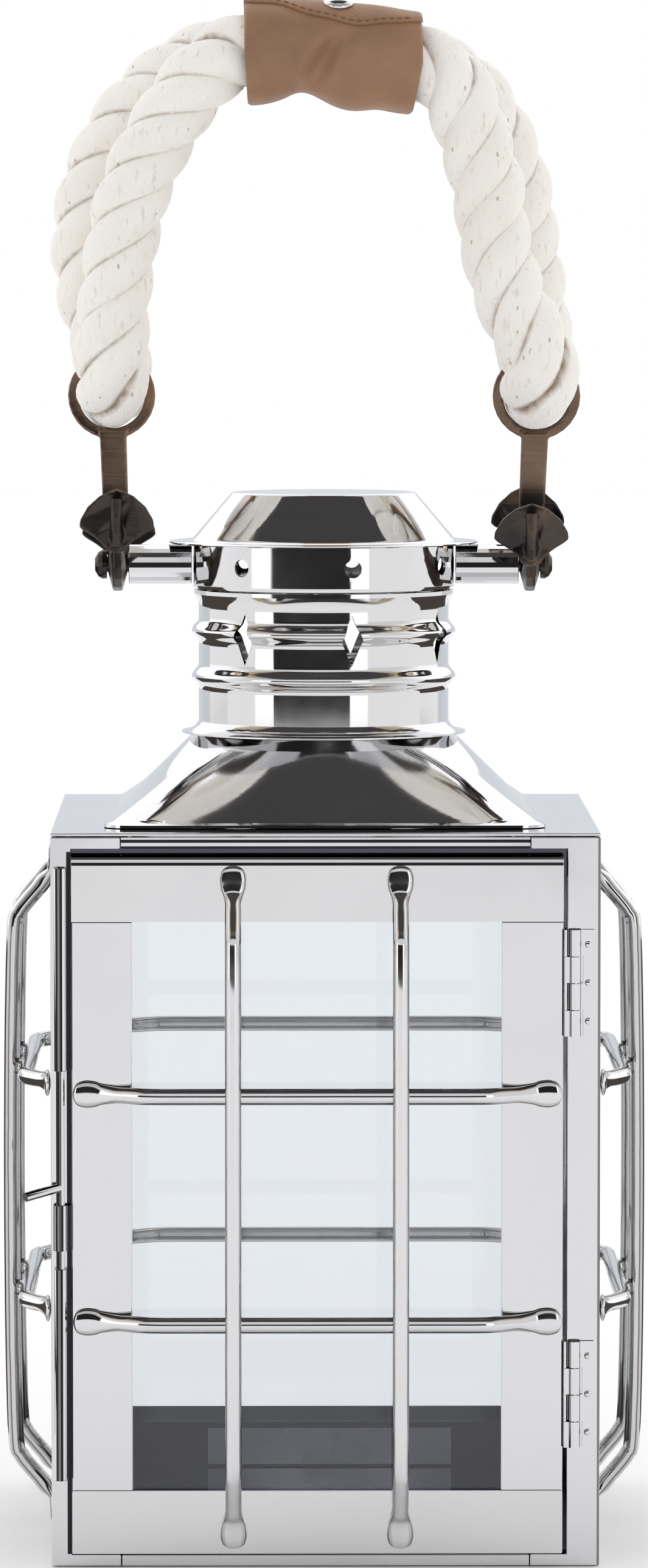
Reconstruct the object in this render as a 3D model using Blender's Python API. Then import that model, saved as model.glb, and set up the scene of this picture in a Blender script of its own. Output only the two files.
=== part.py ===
"""Square ship lantern with a glazed door, wire guards, a vented chimney and a rope handle.

Metres, +Z up. The origin is on the ground under the middle of the lantern. The door is on the -Y side
and its hinges are on the +X side. The handle stands upright.
"""

import math

import bmesh
import bpy
from mathutils import Matrix, Vector

# Driving dimensions
HALF = 0.100  # half the body's width and depth
DECK_TOP = 0.2685
SHEET = 0.0012
THIN = 0.0010  # the door's sheet
GAP = 0.0003
FLANGE = 0.0253  # width of the corner posts on the fixed sides

FLOOR_TOP = 0.0053
RAIL_LOW = 0.0290  # top edge of the bottom rails
RAIL_HIGH = 0.2363  # bottom edge of the top rails
FRONT_STRIP = 0.0042  # height of the strips above and below the door
EAR = 0.0253  # width of a front post's ears
FRONT_LEFT_FLANGE = 0.0074
FRONT_RIGHT_FLANGE = 0.0120

DOOR_LEFT = -0.0925
DOOR_RIGHT = 0.0865
DOOR_LOW = 0.0048
DOOR_HIGH = 0.2604
DOOR_FACE = -0.1020
DOOR_BACK = -0.0940
STILE_LEFT = 0.0221
STILE_RIGHT = 0.0225
DOOR_RAIL_LOW = 0.0280  # top edge of the door's bottom rail
HEADER_LIP = 0.2520  # lower edge of the stop behind the door's top
RAIL_BEND = 0.0036

GLASS = 0.0020

ROD = 0.0030  # radius of the guard rods
BOW_UPRIGHT = 0.1166  # distance from the lantern's middle to the upright rods' centre line
BOW_LEVEL = 0.1104  # and to the level rods' centre line
UPRIGHT_APART = 0.0298  # from the guard's middle to an upright rod
PADDLE = 0.0049  # half the width of a flattened rod end
PADDLE_FLAT = 0.0012  # half its thickness
ROD_SIDES = 8

HINGE_X = 0.0906
HINGE_Y = -0.1025
KNUCKLE = 0.0022
PIN = 0.0011
LEAF = 0.0009  # thickness of the hinge leaves
HINGE_TALL = 0.0392
HINGE_LOWS = {"upper": 0.1944, "lower": 0.0438}

LATCH_X = -0.0965
LATCH_Y = -0.1026
LATCH_TUBE = 0.0023
LATCH_BORE = 0.0019
LATCH_ROD = 0.0016

FLUE = 0.0469  # outer radius of the chimney
FLUE_SHEET = 0.0010
BEAD = 0.0495
BEAD_HALF = 0.0046  # half a bead's height
VENTS = 7
VENT_START = math.radians(12.5)
HOOD_LOW = 0.0780
HOOD_TOP_Z = 0.2988
BEAD_ZS = (0.3204, 0.3374)

PIVOT_Z = 0.3620
ANCHOR_X = 0.0772
ANCHOR_TILT = math.radians(6.0)
EYE_X = 0.0795
EYE_UP = 0.0635
EYE_IN = 0.0125
EYE_OUT = 0.0164

ROPE = 0.0139
ROPE_SIDES = 12
ROPE_APART = 0.0146  # from the middle to each of the two runs of rope inside the sleeve
SLEEVE_RADIUS = 0.0180  # round the outer side of each run
LEATHER = 0.0025
STUD_PLACE = (0.0054, 0.5524)  # x, and the height of the sleeve's middle there
STUD_LEAN = math.radians(18)  # from upright towards the front


# ---------------------------------------------------------------- building helpers


def clear_scene():
    for old in list(bpy.data.objects):
        bpy.data.objects.remove(old, do_unlink=True)


def material(name, colour, roughness, metallic):
    made = bpy.data.materials.new(name)
    made.use_nodes = True
    shader = made.node_tree.nodes["Principled BSDF"]
    shader.inputs["Base Color"].default_value = (*colour, 1.0)
    shader.inputs["Roughness"].default_value = roughness
    shader.inputs["Metallic"].default_value = metallic
    return made


def add_object(name, bm, look, smooth_angle=math.radians(35)):
    bmesh.ops.recalc_face_normals(bm, faces=bm.faces)
    mesh = bpy.data.meshes.new(name)
    bm.to_mesh(mesh)
    bm.free()
    mesh.materials.append(look)
    mesh.shade_smooth()
    mesh.set_sharp_from_angle(angle=smooth_angle)
    made = bpy.data.objects.new(name, mesh)
    bpy.context.scene.collection.objects.link(made)
    return made


def empty(name, place):
    made = bpy.data.objects.new(name, None)
    made.location = place
    bpy.context.scene.collection.objects.link(made)
    return made


def ride(children, parent):
    """Parent objects that were built in world coordinates to an empty on their joint."""
    for child in children:
        child.parent = parent
        child.matrix_parent_inverse = Matrix.Translation(parent.location).inverted()


def box(name, low, high, look):
    bm = bmesh.new()
    bmesh.ops.create_cube(bm, size=1.0)
    size = Vector(high) - Vector(low)
    middle = (Vector(high) + Vector(low)) / 2
    for v in bm.verts:
        v.co = Vector((v.co.x * size.x, v.co.y * size.y, v.co.z * size.z)) + middle
    return add_object(name, bm, look)


def bridge(bm, rings, closed=False):
    """Quads between rings of vertices that have the same count."""
    pairs = list(zip(rings, rings[1:]))
    if closed:
        pairs.append((rings[-1], rings[0]))
    for one, two in pairs:
        count = len(one)
        for i in range(count):
            j = (i + 1) % count
            bm.faces.new((one[i], one[j], two[j], two[i]))


def loft(rings_of_points, closed=False):
    """A bmesh tube through rings of points; its ends are capped unless it closes on itself."""
    bm = bmesh.new()
    rings = [[bm.verts.new(p) for p in ring] for ring in rings_of_points]
    bridge(bm, rings, closed)
    if not closed:
        bm.faces.new(rings[0])
        bm.faces.new(rings[-1])
    return bm


def prism(name, outline, axis, low, high, look):
    """Extrude a closed outline: along X its points are (y, z), along Y (x, z), along Z (x, y)."""

    def place(point, along):
        a, b = point
        return {"X": (along, a, b), "Y": (a, along, b), "Z": (a, b, along)}[axis]

    rings = [[place(p, along) for p in outline] for along in (low, high)]
    return add_object(name, loft(rings), look)


def turned(name, profile, look, centre=(0, 0, 0), segments=40):
    """Turn a closed profile of (radius, z) points about an upright axis."""
    bm = bmesh.new()
    rings = []
    for i in range(segments):
        a = math.tau * i / segments
        rings.append(
            [
                bm.verts.new((centre[0] + r * math.cos(a), centre[1] + r * math.sin(a), centre[2] + z))
                for r, z in profile
            ]
        )
    bridge(bm, rings, closed=True)
    return add_object(name, bm, look)


def arc(centre, radius, start, end, steps):
    """Points on an arc, angles in degrees."""
    points = []
    for i in range(steps + 1):
        a = math.radians(start + (end - start) * i / steps)
        points.append((centre[0] + radius * math.cos(a), centre[1] + radius * math.sin(a)))
    return points


def circle(centre, axis_a, axis_b, half_a, half_b, sides):
    """An ellipse of points about a centre, spanned by two unit vectors."""
    ring = []
    for i in range(sides):
        a = math.tau * (i + 0.5) / sides
        ring.append(centre + axis_a * (half_a * math.cos(a)) + axis_b * (half_b * math.sin(a)))
    return ring


def bar(name, start, end, radius, look, sides=16):
    """A round bar between two points."""
    start, end = Vector(start), Vector(end)
    along = (end - start).normalized()
    across = along.orthogonal().normalized()
    other = along.cross(across)
    rings = [circle(p, across, other, radius, radius, sides) for p in (start, end)]
    return add_object(name, loft(rings), look)


def cut(target, cutter):
    """Subtract a cutter, which stays in the file as a hidden guide."""
    cutter.hide_render = True
    cutter.hide_viewport = True
    cutter.display_type = "WIRE"
    change = target.modifiers.new("cut_" + cutter.name, "BOOLEAN")
    change.operation = "DIFFERENCE"
    change.solver = "EXACT"
    change.object = cutter


def join(target, piece):
    """Add a hidden guide's volume to the target."""
    cut(target, piece)
    target.modifiers[-1].operation = "UNION"


def smooth_route(points, per_span, closed=False):
    """Points on a Catmull-Rom curve through the given points."""
    count = len(points)
    spans = count if closed else count - 1
    out = []
    for i in range(spans):
        if closed:
            p0, p1, p2, p3 = (points[(i + k - 1) % count] for k in range(4))
        else:
            p0, p1, p2, p3 = (points[min(max(i + k - 1, 0), count - 1)] for k in range(4))
        for step in range(per_span):
            t = step / per_span
            out.append(
                0.5
                * (
                    2 * p1
                    + (p2 - p0) * t
                    + (2 * p0 - 5 * p1 + 4 * p2 - p3) * t**2
                    + (3 * p1 - p0 - 3 * p2 + p3) * t**3
                )
            )
    if not closed:
        out.append(points[-1].copy())
    return out


# ---------------------------------------------------------------- materials


def looks():
    return {
        "steel": material("polished_steel", (0.84, 0.84, 0.85), 0.08, 1.0),
        "bronze": material("aged_bronze", (0.20, 0.13, 0.08), 0.38, 1.0),
        "glass": material("window_glass", (0.85, 0.90, 0.94), 0.02, 0.0),
        "rope": material("cotton_rope", (0.84, 0.80, 0.72), 0.90, 0.0),
        "leather": material("brown_leather", (0.28, 0.15, 0.08), 0.55, 0.0),
    }


# ---------------------------------------------------------------- body


def corner_post(name, front_flange, side_flange, ear, look):
    """A folded corner at -X, -Y: a front sheet with ears, and a side sheet folded from its edge."""
    top = DECK_TOP - SHEET - GAP
    left, fold, inner = -HALF, -HALF + SHEET, -HALF + front_flange
    ear_end = -HALF + max(ear, front_flange + GAP)
    outline = [(left, 0), (fold, 0), (ear_end, 0), (ear_end, FRONT_STRIP), (inner, FRONT_STRIP)]
    outline += [(inner, top - FRONT_STRIP), (ear_end, top - FRONT_STRIP), (ear_end, top)]
    outline += [(fold, top), (left, top)]
    bm = bmesh.new()
    outer = [bm.verts.new((x, -HALF, z)) for x, z in outline]
    back = [bm.verts.new((x, -HALF + SHEET, z)) for x, z in outline]
    bm.faces.new(outer)
    bm.faces.new(back[1:9])
    strip = bm.faces.new((back[0], back[1], back[8], back[9]))
    bridge(bm, [outer, back])
    grown = bmesh.ops.extrude_face_region(bm, geom=[strip])
    bm.faces.remove(strip)
    moved = [v for v in grown["geom"] if isinstance(v, bmesh.types.BMVert)]
    bmesh.ops.translate(bm, vec=(0, side_flange - SHEET, 0), verts=moved)
    return add_object(name, bm, look)


def mirror_x(made):
    """Swap left and right in an object's mesh and keep its faces pointing out."""
    made.data.transform(Matrix.Scale(-1, 4, (1, 0, 0)))
    made.data.flip_normals()


def posts(look):
    corner_post("corner_post_front_left", FRONT_LEFT_FLANGE, FLANGE, EAR, look)
    mirror_x(corner_post("corner_post_front_right", FRONT_RIGHT_FLANGE, FLANGE, EAR, look))
    right = corner_post("corner_post_back_right", FLANGE, FLANGE, 0, look)
    right.rotation_euler.z = math.pi
    left = corner_post("corner_post_back_left", FLANGE, FLANGE, 0, look)
    left.rotation_euler.z = -math.pi / 2


def folded_strip(name, low_z, high_z, fold_at_bottom, half_width, look):
    """A strip on the -Y side with an inward fold along its bottom or top edge."""
    fold = 0.0110
    out, inner, deep = -HALF, -HALF + SHEET, -HALF + SHEET + fold
    if fold_at_bottom:
        outline = [(out, low_z), (deep, low_z), (deep, low_z + SHEET), (inner, low_z + SHEET)]
        outline += [(inner, high_z), (out, high_z)]
    else:
        outline = [(out, low_z), (inner, low_z), (inner, high_z - SHEET)]
        outline += [(deep, high_z - SHEET), (deep, high_z), (out, high_z)]
    return prism(name, outline, "X", -half_width, half_width, look)


def header(top, half_width, look):
    """The strip over the door, folded back and then down into a stop behind the door's top."""
    front, back = DOOR_BACK + 2 * GAP, DOOR_BACK + 2 * GAP + THIN
    out, inner, low = -HALF, -HALF + SHEET, top - FRONT_STRIP
    outline = [(out, low), (inner, low), (inner, top - SHEET), (front, top - SHEET)]
    outline += [(front, HEADER_LIP), (back, HEADER_LIP), (back, top), (out, top)]
    made = prism("header_front", outline, "X", -half_width, half_width, look)
    outline = [(inner + GAP, top - SHEET), (front, top - SHEET), (front, HEADER_LIP)]
    outline += [(back, HEADER_LIP), (back, top), (inner + GAP, top)]
    wide = HALF - SHEET - GAP
    join(made, prism("header_wide_guide", outline, "X", -wide, wide, look))


def strips(look):
    """The header and sill over and under the door, and the rails of the three glazed sides."""
    top = DECK_TOP - SHEET - GAP
    between_ears = HALF - EAR - GAP
    between_posts = HALF - FLANGE - GAP
    header(top, between_ears, look)
    folded_strip("sill_front", 0, FRONT_STRIP, True, between_ears, look)
    for side, turn in SIDES.items():
        upper = folded_strip("top_rail_" + side, RAIL_HIGH, top, False, between_posts, look)
        lower = folded_strip("bottom_rail_" + side, 0, RAIL_LOW, True, between_posts, look)
        upper.rotation_euler.z = lower.rotation_euler.z = turn


SIDES = {"right": math.pi / 2, "back": math.pi, "left": -math.pi / 2}


def body_plates(steel):
    edge = HALF - SHEET - GAP
    box("floor_plate", (-edge, DOOR_BACK + 2 * GAP, FLOOR_TOP - THIN), (edge, edge, FLOOR_TOP), steel)
    box("back_inner_plate", (-0.0445, edge - THIN, 0.0062), (0.0505, edge, 0.0204), steel)
    deck = box("top_deck", (-HALF, -HALF, DECK_TOP - SHEET), (HALF, HALF, DECK_TOP), steel)
    cut(deck, bar("deck_hole_guide", (0, 0, DECK_TOP - 0.01), (0, 0, DECK_TOP + 0.01), 0.060, steel, 32))


def side_glass(glass):
    half = 0.0780
    back = -HALF + SHEET + GAP
    for side, turn in SIDES.items():
        low, high = (-half, back, 0.0230), (half, back + GLASS, 0.2425)
        box("glass_" + side, low, high, glass).rotation_euler.z = turn


# ---------------------------------------------------------------- roof


def rounded_square(half, corner, z, count=48):
    """Points round a square with round corners, at even angles about the middle."""
    ring = []
    span = half - corner
    for i in range(count):
        a = math.tau * i / count
        x, y = math.cos(a), math.sin(a)
        low, high = 0.0, half * 1.5
        for _ in range(24):
            middle = (low + high) / 2
            px, py = abs(x * middle), abs(y * middle)
            outside = math.hypot(max(px - span, 0), max(py - span, 0)) > corner
            low, high = (low, middle) if outside else (middle, high)
        ring.append(Vector((x * low, y * low, z)))
    return ring


def drawn_in(point, depth):
    """The point moved towards the upright axis."""
    keep = 1 - depth / point.xy.length
    return Vector((point.x * keep, point.y * keep, point.z))


def hood(look):
    """A square base with a small lip that closes up to a round neck; a thin open shell."""
    lip = 0.0812
    foot = DECK_TOP + GAP
    base = foot + THIN
    outer = [rounded_square(lip, 0.010, foot), rounded_square(lip, 0.010, base)]
    steps = 6
    square = rounded_square(HOOD_LOW, 0.016, base + 0.0006)
    neck = rounded_square(0.0490, 0.0489, HOOD_TOP_Z)
    wall = [[a.lerp(b, i / steps) for a, b in zip(square, neck)] for i in range(steps + 1)]
    inner = [[drawn_in(p, 0.0016) for p in ring] for ring in wall]
    inner[0] = [Vector((p.x, p.y, foot)) for p in inner[0]]
    bm = loft(outer + wall + inner[::-1], closed=True)
    return add_object("roof_hood", bm, look)


def bead(z, steps=6):
    """The outer side of a rolled bead, from below it to above it."""
    points = []
    for i in range(steps + 1):
        swell = (BEAD - FLUE) * (0.5 - 0.5 * math.cos(math.tau * i / steps))
        points.append((FLUE + swell, z + BEAD_HALF * (2 * i / steps - 1)))
    return points


def chimney(look):
    outer = [(0.0532, 0.2992), (0.0532, 0.2999), (0.0492, 0.3012), (FLUE, 0.3040)]
    for z in BEAD_ZS:
        outer += bead(z)
    outer += [(FLUE, 0.3462), (0.0474, 0.3490), (0.0486, 0.3512), (0.0486, 0.3527)]
    inner = [(r - FLUE_SHEET, z) for r, z in outer[3:]]
    profile = outer + inner[::-1] + [(0.0478, 0.2992)]
    made = turned("chimney", profile, look, segments=42)
    for i in range(VENTS):
        a = VENT_START + math.tau * i / VENTS
        diamond = [(0, -0.0095), (0.0040, 0), (0, 0.0095), (-0.0040, 0)]
        tool = prism("diamond_guide_%d" % i, diamond, "Y", -0.060, -0.035, look)
        tool.location.z = BEAD_ZS[1] - 0.0021
        tool.rotation_euler.z = a
        cut(made, tool)


def collar(look):
    low, high, out = 0.3530, 0.3698, 0.0489
    outer = [(out - 0.0016, low), (out, low + 0.0012), (out, high)]
    inner = [(out - FLUE_SHEET, high), (out - FLUE_SHEET, low + 0.0016), (out - 0.0024, low + 0.0007)]
    made = turned("vent_collar", outer + inner, look, segments=42)
    for i in range(VENTS):
        a = VENT_START + math.tau * i / VENTS
        way = Vector((math.sin(a), -math.cos(a), 0))
        middle = Vector((0, 0, PIVOT_Z))
        tool = bar("vent_guide_%d" % i, middle + way * 0.040, middle + way * 0.055, 0.0033, look, 10)
        cut(made, tool)


def cap(look):
    top = [(0.0006, 0.3891), (0.0340, 0.3891), (0.0350, 0.3886), (0.0357, 0.3875)]
    skirt = [(0.0488, 0.3722), (0.0500, 0.3712), (0.0580, 0.3708), (0.0580, 0.3701)]
    under = [(0.0480, 0.3701), (0.0478, 0.3716), (0.0345, 0.3872), (0.0335, 0.3881), (0.0006, 0.3881)]
    made = turned("chimney_cap", top + skirt + under, look, segments=42)
    plug = bar("cap_middle_guide", (0, 0, 0.3881), (0, 0, 0.3891), 0.0030, look, 12)
    join(made, plug)


# ---------------------------------------------------------------- guards


def flattened(tip, start, way, outward, across):
    """Rings of a rod's flattened end, from its tip towards the rod, and the rod's centre after it."""
    profile = [
        (0.0000, 0.0014, 0.0006),
        (0.0009, 0.0034, 0.0010),
        (0.0028, 0.0048, PADDLE_FLAT),
        (0.0058, PADDLE, PADDLE_FLAT),
        (0.0090, 0.0047, 0.0014),
        (0.0116, 0.0034, 0.0020),
    ]
    rings = []
    for along, wide, thick in profile:
        centre = tip + way * along + outward * (start + thick)
        rings.append(circle(centre, across, outward, wide, thick, ROD_SIDES))
    return rings


def guard_rod(name, tips, way, rest, bow, across, shoulders, look):
    """A rod whose flat ends lie on a face and whose length stands off it.

    tips are its two ends in the plane through the lantern's middle, way runs from one to the other, rest
    and bow are the distances of the face and of the bowed centre line from that plane.
    """
    outward = Vector((0, -1, 0))
    length = (tips[1] - tips[0]).dot(way)
    first = flattened(tips[0], rest, way, outward, across)
    last = flattened(tips[1], rest, -way, outward, across)
    begin = rest + 0.0024
    centres = []
    for along, part in shoulders:
        centres.append((along, begin + (bow - begin) * part))
    line = centres + [(length / 2, bow)] + [(length - a, d) for a, d in centres[::-1]]
    points = [tips[0] + way * a + outward * d for a, d in line]
    middle = []
    for i, point in enumerate(points):
        before = points[max(i - 1, 0)]
        after = points[min(i + 1, len(points) - 1)]
        normal = across.cross((after - before).normalized()).normalized()
        if normal.dot(outward) < 0:
            normal = -normal
        middle.append(circle(point, across, normal, ROD, ROD, ROD_SIDES))
    return add_object(name, loft(first + middle + last[::-1]), look)


UPRIGHT_SHOULDERS = [(0.0134, 0.10), (0.0170, 0.30), (0.0212, 0.56)]
UPRIGHT_SHOULDERS += [(0.0254, 0.78), (0.0310, 0.90), (0.0620, 0.965)]
LEVEL_SHOULDERS = [(0.0150, 0.08), (0.0205, 0.50), (0.0260, 0.86), (0.0310, 0.98), (0.0370, 1.0)]


def guard(side, uprights, foot_and_head, rest, levels, ends, ends_rest, look):
    """Two upright rods in front of two level rods, modelled on the -Y side."""
    made = []
    up, right = Vector((0, 0, 1)), Vector((1, 0, 0))
    for label, x in zip(("left", "right"), uprights):
        tips = [Vector((x, 0, z)) for z in foot_and_head]
        name = "guard_%s_upright_%s" % (side, label)
        made.append(guard_rod(name, tips, up, rest, BOW_UPRIGHT, right, UPRIGHT_SHOULDERS, look))
    for label, z in zip(("lower", "upper"), levels):
        tips = [Vector((x, 0, z)) for x in ends]
        name = "guard_%s_bar_%s" % (side, label)
        made.append(guard_rod(name, tips, right, ends_rest, BOW_LEVEL, up, LEVEL_SHOULDERS, look))
    return made


def side_guards(look):
    """The guards of the fixed sides; the back one's upright rods line up with the door's."""
    evenly = (-UPRIGHT_APART, UPRIGHT_APART)
    places = {
        "right": (evenly, (0.0930, 0.1760)),
        "back": ((-0.0313, 0.0345), (0.0950, 0.1780)),
        "left": (evenly, (0.0930, 0.1760)),
    }
    rest = HALF + GAP
    for side, (uprights, levels) in places.items():
        for rod in guard(side, uprights, (0.0050, 0.2592), rest, levels, (-0.0910, 0.0910), rest, look):
            rod.rotation_euler.z = SIDES[side]


# ---------------------------------------------------------------- door


def door(steel, glass):
    hinge = empty("door_axis", (HINGE_X, HINGE_Y, 0))
    front, back = DOOR_FACE, DOOR_BACK
    bend = RAIL_BEND
    middle = (front + bend, DOOR_HIGH - bend)
    outline = [(front, RAIL_HIGH)] + arc(middle, bend, 180, 90, 5)
    outline += [(back, DOOR_HIGH), (back, DOOR_HIGH - THIN)]
    outline += arc(middle, bend - THIN, 90, 180, 5) + [(front + THIN, RAIL_HIGH)]
    parts = [prism("door_top_rail", outline, "X", DOOR_LEFT, DOOR_RIGHT, steel)]
    outline = [(front, DOOR_RAIL_LOW), (front, DOOR_LOW), (back, DOOR_LOW), (back, DOOR_LOW + THIN)]
    outline += [(front + THIN, DOOR_LOW + THIN), (front + THIN, DOOR_RAIL_LOW)]
    parts.append(prism("door_bottom_rail", outline, "X", DOOR_LEFT, DOOR_RIGHT, steel))

    face = front + THIN + GAP
    low, high = DOOR_LOW + THIN + GAP, DOOR_HIGH - THIN - GAP
    for side, edge, width in (("left", DOOR_LEFT, STILE_LEFT), ("right", DOOR_RIGHT, -STILE_RIGHT)):
        inward = math.copysign(THIN, width)
        high_here = high - bend
        outline = [(edge, face), (edge + width, face), (edge + width, face + THIN)]
        outline += [(edge + inward, face + THIN), (edge + inward, back), (edge, back)]
        parts.append(prism("door_stile_" + side, outline, "Z", low, high_here, steel))

    pane = face + THIN + GAP
    corner, far = (DOOR_LEFT + 0.006, pane, 0.0120), (DOOR_RIGHT - 0.006, pane + GLASS, 0.2520)
    parts.append(box("door_glass", corner, far, glass))

    uprights, heights = (-0.0336, 0.0272), (0.0072, 0.2565)
    levels, ends = (0.0900, 0.1734), (-0.0917, 0.0858)
    parts += guard("door", uprights, heights, -front + GAP, levels, ends, -face + GAP, steel)
    parts.append(keeper(steel))
    parts += [hinge_leaves(label, low_z, steel) for label, low_z in HINGE_LOWS.items()]
    ride(parts, hinge)


def keeper(look):
    """The half tube on the door's edge that closes over the latch bolt from the front."""
    inner, outer = LATCH_BORE + 0.0002, LATCH_TUBE + 0.0003
    tab_top = LATCH_Y + 0.0012
    centre = (LATCH_X, LATCH_Y)
    outline = arc(centre, outer, 180, 345, 10)
    outline += [(DOOR_LEFT - GAP, LATCH_Y - 0.0006), (DOOR_LEFT - GAP, tab_top), (LATCH_X + inner, tab_top)]
    outline += arc(centre, inner, 360, 180, 10)
    return prism("latch_keeper", outline, "Z", 0.1163, 0.1330, look)


def knuckle_spans(low_z):
    step = HINGE_TALL / 4
    return [(low_z + i * step + GAP / 2, low_z + (i + 1) * step - GAP / 2) for i in range(4)]


def hinge_bar(name, span, radius, look, sides=16):
    """A round bar on the hinge axis."""
    low, high = span
    return bar(name, (HINGE_X, HINGE_Y, low), (HINGE_X, HINGE_Y, high), radius, look, sides)


def hinge_leaves(label, low_z, look):
    """A butt hinge: a frame leaf on the post, and a door leaf that carries the pin."""
    spans = knuckle_spans(low_z)
    bottom, top = spans[0][0], spans[3][1]
    name = "hinge_%s_frame_leaf" % label
    back = -HALF - GAP
    frame_leaf = box(name, (HINGE_X + 0.0004, back - LEAF, bottom), (0.0977, back, top), look)
    edge = DOOR_RIGHT + GAP
    name = "hinge_%s_door_leaf" % label
    door_leaf = box(name, (edge, HINGE_Y - 0.0004, bottom), (edge + LEAF, DOOR_BACK, top), look)
    for i, (low, high) in enumerate(spans):
        name = "%s_%d" % (label, i)
        knuckle = hinge_bar("knuckle_" + name, (low, high), KNUCKLE, look)
        if i % 2 == 0:
            corner, far = (HINGE_X - 0.003, HINGE_Y - 0.003), (HINGE_X + 0.003, HINGE_Y + 0.003)
            cut(frame_leaf, box("knuckle_room_" + name, (*corner, low - GAP), (*far, high + GAP), look))
            corner, far = (edge, HINGE_Y - LEAF), (HINGE_X - 0.0010, HINGE_Y + 0.0001)
            join(door_leaf, box("hinge_arm_" + name, (*corner, low), (*far, high), look))
            join(door_leaf, knuckle)
        else:
            join(frame_leaf, knuckle)
    cut(frame_leaf, hinge_bar("pin_room_" + label, (bottom - 0.001, top + 0.001), PIN + GAP, look))
    join(door_leaf, hinge_bar("pin_" + label, (bottom, top), PIN, look, 12))
    return door_leaf


# ---------------------------------------------------------------- latch


def latch(look):
    def tube(name, low, high):
        profile = [(LATCH_TUBE, high), (LATCH_TUBE, low), (LATCH_BORE, low), (LATCH_BORE, high)]
        turned(name, profile, look, centre=(LATCH_X, LATCH_Y, 0), segments=16)

    tube("latch_tube_upper", 0.1820, 0.2560)
    tube("latch_tube_lower", 0.0320, 0.1096)

    bottom, turn_z, top = 0.0950, 0.1395, 0.2000
    middle = Vector((LATCH_X, LATCH_Y, 0))
    x, y = Vector((1, 0, 0)), Vector((0, 1, 0))
    stem = [circle(middle + Vector((0, 0, z)), x, y, LATCH_ROD, LATCH_ROD, 12) for z in (bottom, top)]
    bolt = add_object("latch_bolt", loft(stem), look)
    tip = Vector((-0.1090, -0.1108, 0.1369))
    start = middle + Vector((0, 0, turn_z))
    join(bolt, bar("bolt_handle_guide", start, tip, LATCH_ROD + 0.0001, look, 12))
    slide = empty("latch_axis", (LATCH_X, LATCH_Y, turn_z))
    ride([bolt], slide)


# ---------------------------------------------------------------- handle


def eye_point(side, across, up):
    """A point in an anchor's own upright plane, turned by the anchor's tilt about the handle's axis."""
    tilt = ANCHOR_TILT * (1 if side < 0 else -1)
    y = across * math.cos(tilt) + up * math.sin(tilt)
    z = up * math.cos(tilt) - across * math.sin(tilt)
    return Vector((0, y, PIVOT_Z + z))


def anchor(side, look):
    """A small ship's anchor: an eye, a shank, and a curved arm with a palm at each end."""
    label = "left" if side < 0 else "right"
    middle = side * ANCHOR_X
    half_thick = 0.0038
    centre, radius = 0.0176, 0.0276
    rows = []
    for i in range(-7, 8):
        a = math.radians(-90 + 14.5 * i)
        thick = 0.0150 - 0.0020 * abs(i)
        wide = half_thick - 0.00022 * abs(i)
        outer = Vector((0, radius * math.cos(a), centre + radius * math.sin(a)))
        inner = Vector((0, (radius - thick) * math.cos(a), centre + (radius - thick) * math.sin(a)))
        core = (outer + inner) / 2
        rows.append(
            [
                outer + Vector((-wide * 0.45, 0, 0)),
                outer + Vector((wide * 0.45, 0, 0)),
                core + Vector((wide, 0, 0)),
                inner + Vector((wide * 0.6, 0, 0)),
                inner + Vector((-wide * 0.6, 0, 0)),
                core + Vector((-wide, 0, 0)),
            ]
        )
    made = add_object("anchor_" + label, loft(rows), look)

    stations = [(0.0020, 0.0036), (0.0078, 0.0036), (0.0130, 0.0047), (EYE_UP - EYE_IN - 0.001, 0.0050)]
    lean = side * (EYE_X - ANCHOR_X) / EYE_UP
    rings = []
    for z, wide in stations:
        corners = ((-1, -1), (1, -1), (1, 1), (-1, 1))
        rings.append([Vector((a * wide + lean * z, b * 0.0021, z)) for a, b in corners])
    join(made, add_object("shank_guide_" + label, loft(rings), look))
    ring = [(EYE_OUT, -0.0015), (EYE_OUT, 0.0015), (EYE_IN, 0.0015), (EYE_IN, -0.0015)]
    eye = turned("eye_guide_" + label, ring, look, segments=28)
    place = Matrix.Translation((lean * EYE_UP, 0, EYE_UP))
    eye.data.transform(place @ Matrix.Rotation(math.pi / 2, 4, "X"))
    join(made, eye)
    for way in (-1, 1):
        join(made, palm("palm_guide_%s_%d" % (label, way), way, look))
    bore = bar("bore_guide_" + label, (-0.02, 0, 0), (0.02, 0, 0), 0.0033, look, 14)
    cut(made, bore)
    for piece in [made] + [m.object for m in made.modifiers]:
        piece.location = (middle, 0, PIVOT_Z)
        piece.rotation_euler.x = -ANCHOR_TILT if side < 0 else ANCHOR_TILT
    return made


def palm(name, way, look):
    """A broad pointed fluke, 28 mm across, folded down along its middle and swept in to the arm."""
    outline = [(0, 0.0266), (0.0062, 0.0240), (0.0108, 0.0200), (0.0136, 0.0152), (0.0139, 0.0126)]
    outline += [(0.0126, 0.0114), (0.0086, 0.0090), (0.0052, 0.0064), (0.0036, 0.0034), (0, 0.0030)]
    full = outline + [(-x, z) for x, z in outline[-2:0:-1]]
    rings = []
    for depth in (-0.0010, 0.0012):
        ring = []
        for x, z in full:
            fold = 0.45 * abs(x) - 11.0 * x * x
            ring.append((x, way * (0.0243 + 0.10 * (z - 0.009) - fold + depth), z))
        rings.append(ring)
    return add_object(name, loft(rings), look)


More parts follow.
